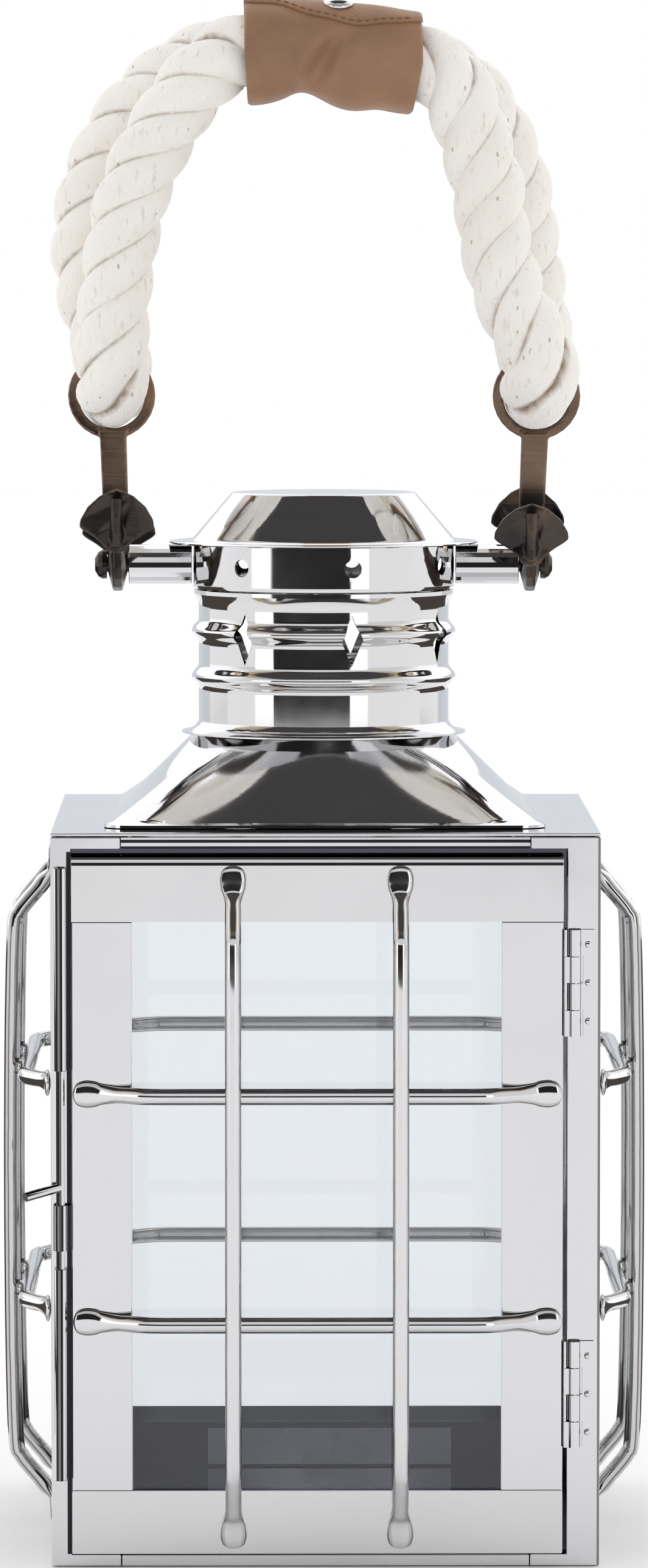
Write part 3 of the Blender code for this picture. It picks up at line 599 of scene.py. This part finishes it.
def collar(look):
    """The band of round vents between the flue and the cap."""
    low, high, out = 0.3530, 0.3698, 0.0489
    lip = [(out - 0.0020, low), (out - 0.0010, low), (out - 0.0003, low + 0.0004), (out, low + 0.0012)]
    lip += [(out, low + 0.0018), (out, high - 0.0006), (out, high)]
    inner = [(out - SHEET, high), (out - SHEET, low + 0.0016), (out - 0.0024, low + 0.0007)]
    made = turned("vent_collar_shell", lip + inner, look)
    for i in range(VENTS):
        a = VENT_START + math.tau * i / VENTS
        way, up = Vector((math.sin(a), -math.cos(a), 0)), Vector((0, 0, 1))
        bm = bmesh.new()
        middles = [way * r + up * PIVOT_Z for r in (0.040, 0.055)]
        loft(bm, [ellipse(m, way.cross(up), up, VENT_ROUND, VENT_ROUND, 24) for m in middles])
        cut(made, finish_mesh("vent_tool", bm, look))
    resharp(made)
    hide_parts("vent_collar")
    place(made, "case", "steel")


def cap(look):
    """The flat-topped cone with its turned-out brim."""
    top = [(0.0002, 0.3891), (0.0335, 0.3891)] + arc((0.0335, 0.3873), 0.0018, 90, 35, 6)
    skirt = [(0.0486, 0.3724), (0.0490, 0.3719), (0.0497, 0.3714), (0.0507, 0.3711)]
    brim = [(0.0574, 0.3709), (0.0579, 0.3707), (0.0580, 0.3704), (0.0578, 0.3701)]
    under = [(0.0480, 0.3701), (0.0478, 0.3716), (0.0345, 0.3872), (0.0335, 0.3881), (0.0002, 0.3881)]
    made = turned("cap_shell", top + skirt + brim + under, look, sharp=40)
    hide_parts("chimney_cap")
    place(made, "case", "steel")


def square_ring(half, corner, z):
    """Points round a square with round corners, at even angles about the middle, found by halving."""
    ring = []
    span = half - corner
    count, halvings = 192, 30
    for i in range(count):
        a = math.tau * (i + 0.5) / count
        x, y = math.cos(a), math.sin(a)
        low, high = 0.0, half * 1.5
        for _ in range(halvings):
            middle = (low + high) / 2
            px, py = abs(x * middle), abs(y * middle)
            outside = math.hypot(max(px - span, 0), max(py - span, 0)) - corner > 0
            low, high = (low, middle) if outside else (middle, high)
        ring.append(Vector((x * low, y * low, z)))
    return ring


def drawn_in(point, depth):
    """The point moved towards the upright axis."""
    keep = 1 - depth / point.xy.length
    return Vector((point.x * keep, point.y * keep, point.z))


HOOD_FOOT, HOOD_LOW, HOOD_NECK = 0.0812, 0.0780, 0.0490  # half widths, and the neck's radius
HOOD_NECK_Z = 0.2988
HOOD_WALL = 0.0016  # measured level


def hood(look):
    """The roof that goes from a square foot to a round neck, with a thin flange on the deck."""
    foot = DECK_Z + 0.0003
    base = foot + SHEET
    rings = [square_ring(HOOD_FOOT, 0.010, z) for z in (foot, base)]
    low = square_ring(HOOD_LOW, 0.016, base + 0.0006)
    neck = square_ring(HOOD_NECK, HOOD_NECK - 0.00001, HOOD_NECK_Z)
    steps = 24
    wall = [[a.lerp(b, i / steps) for a, b in zip(low, neck)] for i in range(steps + 1)]
    inner = [[drawn_in(p, HOOD_WALL) for p in ring] for ring in wall]
    inner[0] = [Vector((p.x, p.y, foot)) for p in inner[0]]
    bm = bmesh.new()
    loft(bm, rings + wall + inner[::-1], closed=True)
    made = finish_mesh("hood_shell", bm, look, 25)
    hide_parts("roof_hood")
    place(made, "case", "steel")


def place(made, body, slot):
    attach(made, body)


# ---------------------------------------------------------------- guards


def rod(node, body, tips, way, rest, bow, across, shoulders, turn, look):
    """A round rod with spoon-like flattened ends, standing off the face that its ends lie on."""
    outward = Vector((0, -1, 0))
    length = (tips[1] - tips[0]).dot(way)
    stations = [Vector((s, rest + o, w, t)) for s, o, w, t in SPOON]
    begin = rest + 0.0024
    stations += [Vector((s, begin + (bow - begin) * part, ROD, ROD)) for s, part in shoulders]
    reach = shoulders[-1][0]
    gap = length / 2 - reach
    last = shoulders[-1][1]
    for f in (0.5, 1.0):
        part = last + (1 - last) * (1 - (1 - f) ** 2)
        stations.append(Vector((reach + gap * f, begin + (bow - begin) * part, ROD, ROD)))
    other = [Vector((length - s.x, s.y, s.z, s.w)) for s in stations[-2::-1]]
    line = spline(stations + other, 4)
    points = [tips[0] + way * s.x + outward * s.y for s in line]
    rings = []
    for i, (point, s) in enumerate(zip(points, line)):
        before, after = points[max(i - 1, 0)], points[min(i + 1, len(points) - 1)]
        normal = across.cross((after - before).normalized()).normalized()
        if normal.dot(outward) < 0:
            normal = -normal
        rings.append(ellipse(point, across, normal, max(s.z, 0.0004), max(s.w, 0.0003), ROD_SIDES))
    bm = bmesh.new()
    uv = bm.loops.layers.uv.new("flank")
    rows = loft(bm, rings)
    # Each point's place round its ring, 0 on the outer side and 1 on the inner, read by the rod material
    # for its painted reflections.
    flank = {}
    for row in rows:
        for k, vert in enumerate(row):
            flank[vert] = 0.5 - 0.5 * math.sin(math.tau * (k + 0.5) / ROD_SIDES)
    for face in bm.faces:
        for loop in face.loops:
            loop[uv].uv = (0.5, flank[loop.vert])
    bmesh.ops.rotate(bm, verts=bm.verts, cent=(0, 0, 0), matrix=Matrix.Rotation(turn, 3, "Z"))
    made = finish_mesh(node + "_rod", bm, look, 50)
    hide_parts(node)
    place(made, body, "steel")


SPOON = (  # along the rod, off the face, half width, half thickness
    (0.0000, 0.0005, 0.0008, 0.0004),
    (0.0004, 0.0009, 0.0026, 0.0008),
    (0.0016, 0.0012, 0.0041, 0.0011),
    (0.0044, 0.0013, 0.0049, 0.0012),
    (0.0078, 0.0014, 0.0046, 0.0013),
    (0.0102, 0.0017, 0.0038, 0.0017),
)
# Along the rod, and the part of the whole bow reached there.
UPRIGHT_SHOULDERS = [(0.0134, 0.10), (0.0170, 0.30), (0.0212, 0.56)]
UPRIGHT_SHOULDERS += [(0.0254, 0.78), (0.0310, 0.90), (0.0620, 0.965)]
LEVEL_SHOULDERS = [(0.0158, 0.12), (0.0208, 0.50), (0.0262, 0.86), (0.0312, 0.98), (0.0370, 1.0)]
BOW_UPRIGHT = 0.1166  # from the lantern's middle to the upright rods' middle line
BOW_LEVEL = 0.1104
EVEN = (-0.0298, 0.0298)
FIXED_ENDS = (-0.0910, 0.0910)
WELD = (0.0027, 0.0016, 0.0027)
ROD = 0.0030  # the rods' radius
ROD_SIDES = 28
# Side: turn, uprights, their ends, their rest, levels, their ends, their rest.
GUARDS = {
    "right": (math.pi / 2, EVEN, (0.0050, 0.2592), 0.1003, (0.0930, 0.1760), FIXED_ENDS, 0.1003),
    "back": (math.pi, (-0.0313, 0.0345), (0.0050, 0.2592), 0.1003, (0.0950, 0.1780), FIXED_ENDS, 0.1003),
    "left": (-math.pi / 2, EVEN, (0.0050, 0.2592), 0.1003, (0.0930, 0.1760), FIXED_ENDS, 0.1003),
    "door": (0.0, (-0.0336, 0.0272), (0.0072, 0.2565), 0.1023, (0.0900, 0.1734), (-0.0917, 0.0858), 0.1010),
}


def guards(look, weld_look):
    up, right = Vector((0, 0, 1)), Vector((1, 0, 0))
    for side, (turn, uprights, heights, rest, levels, ends, ends_rest) in GUARDS.items():
        body = "door" if side == "door" else "case"
        for label, x in zip(("left", "right"), uprights):
            tips = [Vector((x, 0, z)) for z in heights]
            node = "guard_%s_upright_%s" % (side, label)
            rod(node, body, tips, up, rest, BOW_UPRIGHT, right, UPRIGHT_SHOULDERS, turn, look)
        for label, z in zip(("lower", "upper"), levels):
            tips = [Vector((x, 0, z)) for x in ends]
            node = "guard_%s_bar_%s" % (side, label)
            rod(node, body, tips, right, ends_rest, BOW_LEVEL, up, LEVEL_SHOULDERS, turn, look)
        bm = bmesh.new()
        for x in uprights:
            for z in levels:
                spot = Matrix.Translation((x, -(BOW_UPRIGHT + BOW_LEVEL) / 2, z))
                spot = spot @ Matrix.Diagonal((*WELD, 1))
                bmesh.ops.create_uvsphere(bm, u_segments=32, v_segments=16, radius=1, matrix=spot)
        bmesh.ops.rotate(bm, verts=bm.verts, cent=(0, 0, 0), matrix=Matrix.Rotation(turn, 3, "Z"))
        place(finish_mesh("welds_" + side, bm, weld_look, 180), body, "steel")


# ---------------------------------------------------------------- handle


ANCHOR_TILT = math.radians(6.0)
EYE_X = 0.0795
EYE_UP = 0.0635
ROPE = 0.0139  # the rope's radius
ROPE_IN_SLEEVE = 0.0120
TURN_BEND = 0.0165
LAY = 0.053  # length of one turn of the strands


def eye_point(side, across, up):
    tilt = ANCHOR_TILT * (1 if side < 0 else -1)
    y = across * math.cos(tilt) + up * math.sin(tilt)
    z = up * math.cos(tilt) - across * math.sin(tilt)
    return Vector((side * EYE_X, y, PIVOT_Z + z))


def rope_route():
    """The rope's closed centre line and its radius at each point, as in the solid model."""

    def turn_round(side, order):
        path = []
        for degrees in (0, 45, 90, 135, 180):
            a = math.radians(degrees)
            across = order * TURN_BEND * math.cos(a)
            path.append(eye_point(side, across, EYE_UP + TURN_BEND - TURN_BEND * math.sin(a)))
        return path

    def mm(*points):
        return [Vector(p) / 1000 for p in points]

    left_front = mm((3.5, -14.6, 552.4), (-29.5, -14.6, 553.3), (-45, -14.8, 544), (-60, -15, 524))
    left_front += mm((-70.5, -14.5, 502), (-75.5, -12.5, 480), (-78, -9.5, 461))
    left_back = mm((-86, 23, 459), (-89, 19, 482), (-84.5, 16, 507), (-71, 15, 531), (-51, 14.8, 548))
    top_back = mm((-29.5, 14.6, 553.7), (3.5, 14.6, 552.6), (36.5, 14.6, 548.5))
    right_back = mm((52, 14.8, 541.5), (64.5, 15, 524), (72, 15, 503), (75.5, 13.5, 481), (78, 9.5, 461))
    right_front = mm((70.5, -23, 459), (64, -18.5, 481), (61, -15.5, 502), (55.5, -15, 522))
    right_front += mm((48.5, -14.8, 540), (36.5, -14.6, 548.5))
    points = left_front + turn_round(-1, -1) + left_back + top_back + right_back
    back_in_sleeve = len(left_front + left_back) + 6
    narrow = {0: ROPE_IN_SLEEVE, back_in_sleeve: ROPE_IN_SLEEVE}
    for i, radius in ((0, 0.0146), (1, 0.0142), (2, 0.0124), (3, 0.0142), (4, 0.0146)):
        narrow[len(left_front) + i] = narrow[len(points) + i] = radius
    points += turn_round(1, 1) + right_front
    return [Vector((*p, narrow.get(i, ROPE))) for i, p in enumerate(points)]


def frames_along(line):
    """Tangents and sideways directions that turn as little as they can and meet where they began."""
    count = len(line)
    tangents = [(line[(i + 1) % count] - line[i - 1]).normalized() for i in range(count)]
    side = tangents[0].orthogonal().normalized()
    frames = [side]
    for i in range(1, count):
        side = frames[-1] - tangents[i] * frames[-1].dot(tangents[i])
        frames.append(side.normalized())
    last = (frames[-1] - tangents[0] * frames[-1].dot(tangents[0])).normalized()
    drift = math.atan2(last.cross(frames[0]).dot(tangents[0]), last.dot(frames[0]))
    shares = [drift * i / count for i in range(count)]
    return tangents, [Matrix.Rotation(a, 3, t) @ f for a, t, f in zip(shares, tangents, frames)]


def rope(look):
    """Three strands laid round one another along the whole loop."""
    dense = spline(rope_route(), 24, closed=True)
    line = [Vector(p[:3]) for p in dense]
    lengths = [0.0]
    for a, b in zip(line, line[1:] + line[:1]):
        lengths.append(lengths[-1] + (b - a).length)
    total = lengths[-1]
    step = 0.0016
    count = round(total / step)
    even = []
    j = 0
    for i in range(count):
        want = total * i / count
        while lengths[j + 1] < want:
            j += 1
        t = (want - lengths[j]) / (lengths[j + 1] - lengths[j])
        even.append(dense[j].lerp(dense[(j + 1) % len(dense)], t))
    line = [Vector(p[:3]) for p in even]
    tangents, frames = frames_along(line)
    turns = round(total / LAY)
    sides = 20
    bm = bmesh.new()
    uv = bm.loops.layers.uv.new("strand")
    for strand in range(3):
        centres, outs = [], []
        for i, p in enumerate(even):
            a = math.tau * (turns * i / count) + math.tau * strand / 3
            out = Matrix.Rotation(a, 3, tangents[i]) @ frames[i]
            centres.append(line[i] + out * (p.w * 0.486))
            outs.append(out)
        rings = []
        for i in range(count):
            way = (centres[(i + 1) % count] - centres[i - 1]).normalized()
            out = (outs[i] - way * outs[i].dot(way)).normalized()
            side = way.cross(out)
            fat = even[i].w
            slack = 1 + 0.06 * noise.noise(Vector((i * 0.05, strand * 9.0, 1.7)))
            ring = []
            for k in range(sides):
                b = math.tau * k / sides
                reach = out * (0.52 * math.cos(b)) + side * (0.555 * math.sin(b))
                ring.append(bm.verts.new(centres[i] + reach * (fat * slack)))
            rings.append(ring)
        for i in range(count):
            nxt = (i + 1) % count
            for k in range(sides):
                m = (k + 1) % sides
                face = bm.faces.new((rings[i][k], rings[i][m], rings[nxt][m], rings[nxt][k]))
                spots = ((i, k), (i, k + 1), (i + 1, k + 1), (i + 1, k))
                for loop, (u, v) in zip(face.loops, spots):
                    loop[uv].uv = (u * total / count / LAY, v / sides)
    made = finish_mesh("laid_rope", bm, look, 180)
    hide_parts("rope_grip")
    place(made, "handle", "rope")


SLEEVE_LOW, SLEEVE_HIGH = -0.0295, 0.0365  # its ends along X
SLEEVE_PLACES = ((-0.0295, 0.5535), (-0.0130, 0.5537), (0.0035, 0.5525), (0.0200, 0.5509), (0.0365, 0.5485))
SLEEVE_LINE = spline([Vector(p) for p in SLEEVE_PLACES], 8)
APART_ROPES = 0.0146
WRAP = 0.0180  # the leather's radius round each run of rope
QUARTER, FLAT = math.pi / 2 * WRAP, 2 * APART_ROPES
GIRTH = 4 * QUARTER + 2 * FLAT


def bell(value, centre, width):
    return math.exp(-(((value - centre) / width) ** 2))


def ramp01(value, start, end):
    t = min(1.0, max(0.0, (value - start) / (end - start)))
    return t * t * (3 - 2 * t)


def wrap_outline(girth):
    """Place and outward way round the two runs: from the front's middle over the top to the back."""
    s = girth % GIRTH
    if s < QUARTER:
        a = s / WRAP
        way = Vector((-math.cos(a), math.sin(a)))
        return Vector((-APART_ROPES, 0)) + way * WRAP, way
    s -= QUARTER
    if s < FLAT:
        return Vector((s - APART_ROPES, WRAP)), Vector((0, 1))
    s -= FLAT
    if s < 2 * QUARTER:
        a = s / WRAP
        way = Vector((math.sin(a), math.cos(a)))
        return Vector((APART_ROPES, 0)) + way * WRAP, way
    s -= 2 * QUARTER
    if s < FLAT:
        return Vector((APART_ROPES - s, -WRAP)), Vector((0, -1))
    s -= FLAT
    a = s / WRAP
    way = Vector((-math.sin(a), -math.cos(a)))
    return Vector((-APART_ROPES, 0)) + way * WRAP, way


def sleeve_middle(x):
    for a, b in zip(SLEEVE_LINE, SLEEVE_LINE[1:]):
        if x <= b.x:
            break
    return a.y + (b.y - a.y) * (x - a.x) / (b.x - a.x)


def sleeve_point(x, girth, lift=0.0):
    """A point on the leather, with its folds: x along it, girth round it."""
    spot, way = wrap_outline(girth)
    spot = spot + way * lift
    y, z = spot
    below, above = max(0.0, -z / WRAP), max(0.0, z / WRAP)
    front = min(1.0, max(0.0, (-y - APART_ROPES) / WRAP + 0.25))
    up = z / WRAP
    z -= 0.0016 * bell(y, 0, 0.008) * (above - below)
    z += 0.0030 * bell(x, -0.0080, 0.0065 if x < -0.0080 else 0.0080) * below**1.3
    z -= 0.0020 * bell(x, -0.0260, 0.0100) * below
    z -= 0.0022 * bell(x, 0.0110, 0.0100) * below + 0.0006 * bell(x, 0.0300, 0.0080) * below
    groove = x - (-0.0080 + 0.0125 * (up + 1) / 1.3)
    lower = ramp01(0.55 - up, 0.0, 0.5)
    y += 0.0036 * bell(groove, 0, 0.0042) * front * lower
    y -= 0.0020 * (bell(groove, 0.0078, 0.0042) + 0.7 * bell(groove, -0.0078, 0.0042)) * front * lower
    second = x - (-0.0095 - 0.0085 * (up + 1))
    y += 0.0014 * bell(second, 0, 0.0028) * front * ramp01(-0.05 - up, 0.0, 0.5)
    third = x - (0.0190 + 0.0060 * (up + 1))
    y += 0.0012 * bell(third, 0, 0.0045) * front * ramp01(0.2 - up, 0.0, 0.6)
    y += 0.0007 * noise.noise(Vector((x * 55, up * 1.4, 2.0))) * front
    z += 0.0004 * noise.noise(Vector((x * 70, y * 60, 7.0)))
    slant = ramp01(x, 0.008, SLEEVE_HIGH) * 0.0036 - ramp01(-x, 0.010, -SLEEVE_LOW) * 0.0012
    moved = x - slant * below - 0.0012 * above * ramp01(x, 0.008, SLEEVE_HIGH) * (1 - front)
    return Vector((moved, y, sleeve_middle(x) + z))


def flap_edge(x):
    """Where the flap's stitched edge crosses the front, as girth above its middle line."""
    t = (x - SLEEVE_LOW) / (SLEEVE_HIGH - SLEEVE_LOW)
    drop = 0.0004 + 0.0068 * ramp01(t, 0.0, 0.62) - 0.0040 * ramp01(t, 0.62, 1.0)
    drop += 0.0003 * math.sin(t * 23)
    return WRAP * math.asin(1 - drop / WRAP)


def sleeve(look, thread):
    across, around = 66, 132
    bm = bmesh.new()
    outer, inner = [], []
    for i in range(across + 1):
        x = SLEEVE_LOW + (SLEEVE_HIGH - SLEEVE_LOW) * i / across
        rolled = 0.0006 if i in (0, across) else 0
        outer.append([sleeve_point(x, GIRTH * k / around, -rolled) for k in range(around)])
        inner.append([sleeve_point(x, GIRTH * k / around, -0.0020) for k in range(around)])
    loft(bm, outer + inner[::-1], closed=True)
    made = finish_mesh("leather_wrap", bm, look, 70)
    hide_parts("leather_sleeve")
    place(made, "handle", "leather")

    bm = bmesh.new()
    steps = 48
    end = QUARTER + FLAT + QUARTER * 0.9
    rings = []
    for i in range(across + 1):
        x = SLEEVE_LOW - 0.0003 + (SLEEVE_HIGH - SLEEVE_LOW + 0.0006) * i / across
        start = flap_edge(x)
        places = [start + (end - start) * k / steps for k in range(steps + 1)]
        rolled = 0.0003 if i in (0, across) else 0
        top = [sleeve_point(x, g, 0.0013 - rolled - (0.0004 if g == start else 0)) for g in places]
        bottom = [sleeve_point(x, g, 0.0001) for g in places]
        rings.append(top + bottom[::-1])
    loft(bm, rings)
    place(finish_mesh("leather_flap", bm, look, 70), "handle", "leather")

    bm = bmesh.new()
    pitch, stitch = 0.0030, 0.0020
    for i in range(int((SLEEVE_HIGH - SLEEVE_LOW - 0.004) / pitch)):
        x = SLEEVE_LOW + 0.0025 + i * pitch
        ends = [sleeve_point(v, flap_edge(v) + 0.0013, 0.0014) for v in (x, x + stitch)]
        add_stitch(bm, ends[0], ends[1], 0.00035)
    place(finish_mesh("flap_stitches", bm, thread, 180), "handle", "leather")


def add_stitch(bm, start, end, radius):
    way = (end - start).normalized()
    across = way.orthogonal().normalized()
    other = way.cross(across)
    length = (end - start).length
    rings = []
    for i in range(7):
        t = i / 6
        r = radius * max(0.25, math.sin(math.pi * t) ** 0.5)
        rings.append(ellipse(start + way * (length * t), across, other, r, r, 8))
    loft(bm, rings)


STUD_PLACE = (0.0054, 0.5524)
STUD_LEAN = math.radians(18)


def snap(look):
    """The domed press stud on the flap, leaning a little to the front, in a rolled rim."""
    profile = [(0.0002, 0.0026), (0.0018, 0.0025), (0.0034, 0.0021), (0.0042, 0.0015), (0.0044, 0.0011)]
    profile += [(0.0048, 0.0014), (0.0053, 0.0013), (0.0056, 0.0008), (0.0055, 0.0000), (0.0002, 0.0000)]
    made = turned("snap_dome", profile, look, segments=64, sharp=50)
    reach = WRAP + 0.0009
    x, z = STUD_PLACE
    spot = (x, -APART_ROPES - reach * math.sin(STUD_LEAN), z + reach * math.cos(STUD_LEAN))
    made.data.transform(Matrix.Translation(spot) @ Matrix.Rotation(STUD_LEAN, 4, "X"))
    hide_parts("sleeve_snap")
    place(made, "handle", "steel")


def hinge_screws(look):
    """Small domed screws on the hinges' frame leaves."""
    bm = bmesh.new()
    for label in ("upper", "lower"):
        low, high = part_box("hinge_%s_frame_leaf" % label)
        x = high[0] - 0.0022
        y = -0.1012
        for part in (0.14, 0.50, 0.86):
            z = low[2] + (high[2] - low[2]) * part
            rings = []
            for radius, rise in ((0.00125, 0.0), (0.00120, 0.00025), (0.0008, 0.00045), (0.0003, 0.00052)):
                spot = Vector((x, y - rise, z))
                rings.append(ellipse(spot, Vector((1, 0, 0)), Vector((0, 0, 1)), radius, radius, 20))
            loft(bm, rings)
    place(finish_mesh("hinge_screws", bm, look, 60), "case", "steel")


# ---------------------------------------------------------------- the frame's own nodes


def cast(node):
    """Round a solid all over, as a casting is."""
    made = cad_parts[node]
    weld = made.modifiers.new("weld", "WELD")
    weld.merge_threshold = 0.00001
    remesh = made.modifiers.new("even", "REMESH")
    remesh.mode = "VOXEL"
    remesh.voxel_size = 0.00045
    remesh.use_smooth_shade = True
    smooth = made.modifiers.new("worn", "SMOOTH")
    smooth.factor = 0.5
    smooth.iterations = 6


def soften(node, width):
    """Join the solid's split corners and round its edges a little, so that they catch the light."""
    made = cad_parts[node]
    weld = made.modifiers.new("weld", "WELD")
    weld.merge_threshold = 0.00001
    round_off = made.modifiers.new("edges", "BEVEL")
    round_off.width = width
    round_off.segments = 2
    round_off.limit_method = "ANGLE"
    round_off.angle_limit = math.radians(40)
    round_off.harden_normals = True


def dress(looks):
    """Give every node of the frame its finish, and round the edges of the sheet and turned ones."""
    for name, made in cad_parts.items():
        look = looks["steel"]
        if "glass" in name:
            look = looks["glass"]
        elif name.startswith("anchor") or name.startswith("pivot_screw"):
            look = looks["bronze"]
        elif name == "floor_plate":
            look = looks["floor"]
        elif name == "back_inner_plate":
            look = looks["inner"]
        elif name == "bottom_rail_back":
            look = looks["dark_rail"]
        elif name == "header_front":
            look = looks["header"]
        elif name.startswith("latch"):
            look = looks["tube"]
        elif name.startswith("hinge"):
            look = looks["hinge"]
        elif name.startswith("door_stile"):
            look = looks["stile"]
        elif name == "corner_post_front_left":
            look = looks["left_post"]
        elif name == "corner_post_front_right":
            look = looks["right_post"]
        made.data.materials.clear()
        made.data.materials.append(look)
        if "glass" in name:
            made.visible_shadow = False
        elif any(word in name for word in ("post", "rail", "stile", "top_deck", "header", "sill")):
            soften(name, 0.0006 if "door" in name else 0.00045)
        elif name.startswith("anchor"):
            cast(name)
        elif name.startswith(("hinge", "latch", "pivot")):
            soften(name, 0.0003)


def rail_look():
    """Steel that is bright outside and, on the side that faces the lantern's inside, painted dark as shade
    and duller.
    """
    bright = (0.74, 0.735, 0.735)
    look = Look("rear_rail_steel", bright, 0.06, 1.0)
    normal = look.node("ShaderNodeSeparateXYZ")
    look.link(look.node("ShaderNodeNewGeometry").outputs["Normal"], normal.inputs[0])
    spot = look.node("ShaderNodeSeparateXYZ")
    look.link(look.coords, spot.inputs[0])
    # Painted shade: front faces behind the inside line get the dark colour and more roughness.
    front = look.math("LESS_THAN", normal.outputs["Y"], -0.5)
    inside = look.math("MULTIPLY", front, look.math("GREATER_THAN", spot.outputs["Y"], INSIDE_Y))
    look.link(look.blend(inside, bright, INSIDE_SHADE), look.shader.inputs["Base Color"])
    look.link(look.grade(inside, 0.06, 0.30), look.shader.inputs["Roughness"])
    return look.material


def line_looks():
    """The steels with painted dark lines: painted shade in gaps and folds too narrow to see into, painted
    reflections along the latch tubes, hinges and header, and painted shade where a face looks into the
    lantern.
    """
    black, grey = PAINTED_BLACK, PAINTED_GREY
    line = 0.0003  # how soft a line's edge is
    door_low, door_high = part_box("door_top_rail")
    header_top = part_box("header_front")[1][2]
    beside_door = ("place", "Z", 0.0046, door_high[2] + 0.0012)
    face = ("normal", "Y", -2.0, -0.7)
    left_gap = ("place", "X", door_low[0] - 0.0016, 0.0)
    right_gap = ("place", "X", -1.0, door_high[0] + 0.0011)
    outer_edge = ("place", "X", HALF - 0.0008, 1.0)
    return {
        # Painted reflections: black and grey streaks along the latch tubes, keeper and bolt, set by which
        # way the surface faces.
        "tube": shaded(
            "latch_steel",
            (black, 0.10, ("normal", "X", -0.70, -0.42)),
            (grey, 0.05, ("normal", "X", -0.42, 0.02)),
            (black, 0.10, ("normal", "X", 0.05, 0.32)),
            (black, 0.05, ("normal", "X", 0.93, 2.0)),
        ),
        # Painted reflections: black on the hinges' left-facing sides, grey on their right-facing sides.
        "hinge": shaded(
            "hinge_steel",
            (black, 0.15, ("normal", "X", -2.0, -0.75)),
            (grey, 0.10, ("normal", "X", 0.88, 2.0)),
        ),
        # Painted shadow: a black line on the stiles' front where they pass under the door's top rail.
        "stile": shaded("stile_steel", (black, 0.0001, ("place", "Z", RAIL_Z - 0.0004, 1.0), face)),
        # Painted shade: a black line on each front post in the gap beside the door.
        "left_post": shaded("left_post_steel", (black, line, left_gap, beside_door, face)),
        "right_post": shaded(
            "right_post_steel",
            (black, line, right_gap, beside_door, face),
            # Painted reflection: a grey line along the right post's outer edge.
            (grey, line, outer_edge, face),
        ),
        # Painted reflections: two black bands and grey below them on the header's front, and painted shade
        # where it faces the lantern's inside.
        "header": shaded(
            "header_steel",
            (black, line, ("place", "Z", header_top - 0.0019, header_top - 0.0010), face),
            (black, line, ("place", "Z", header_top - 0.0043, header_top - 0.0034), face),
            (grey, line, ("place", "Z", 0.0, header_top - 0.0047), face),
            (INSIDE_SHADE, line, ("place", "Y", INSIDE_Y, 1.0), face),
        ),
    }


SHANK = 0.028  # the anchors turn darker below this height over the pivots


def main():
    camera()
    studio()
    chrome = steel()
    anchor_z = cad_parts["anchor_left"].matrix_world.translation.z
    looks = {
        "steel": chrome,
        "glass": glass_look(),
        "bronze": bronze_look(PIVOT_Z + SHANK - anchor_z),
        "floor": steel("floor_steel", (0.16, 0.16, 0.20), 0.10, 0.0003),
        "inner": steel("inner_steel", (0.30, 0.30, 0.34), 0.25, 0.0003),
        "dark_rail": rail_look(),
    }
    looks.update(line_looks())
    dress(looks)
    hood(chrome)
    chimney(chrome)
    collar(chrome)
    cap(chrome)
    guards(rod_look(), chrome)
    rope(rope_look())
    sleeve(leather_look(), thread_look())
    snap(chrome)
    hinge_screws(chrome)


main()
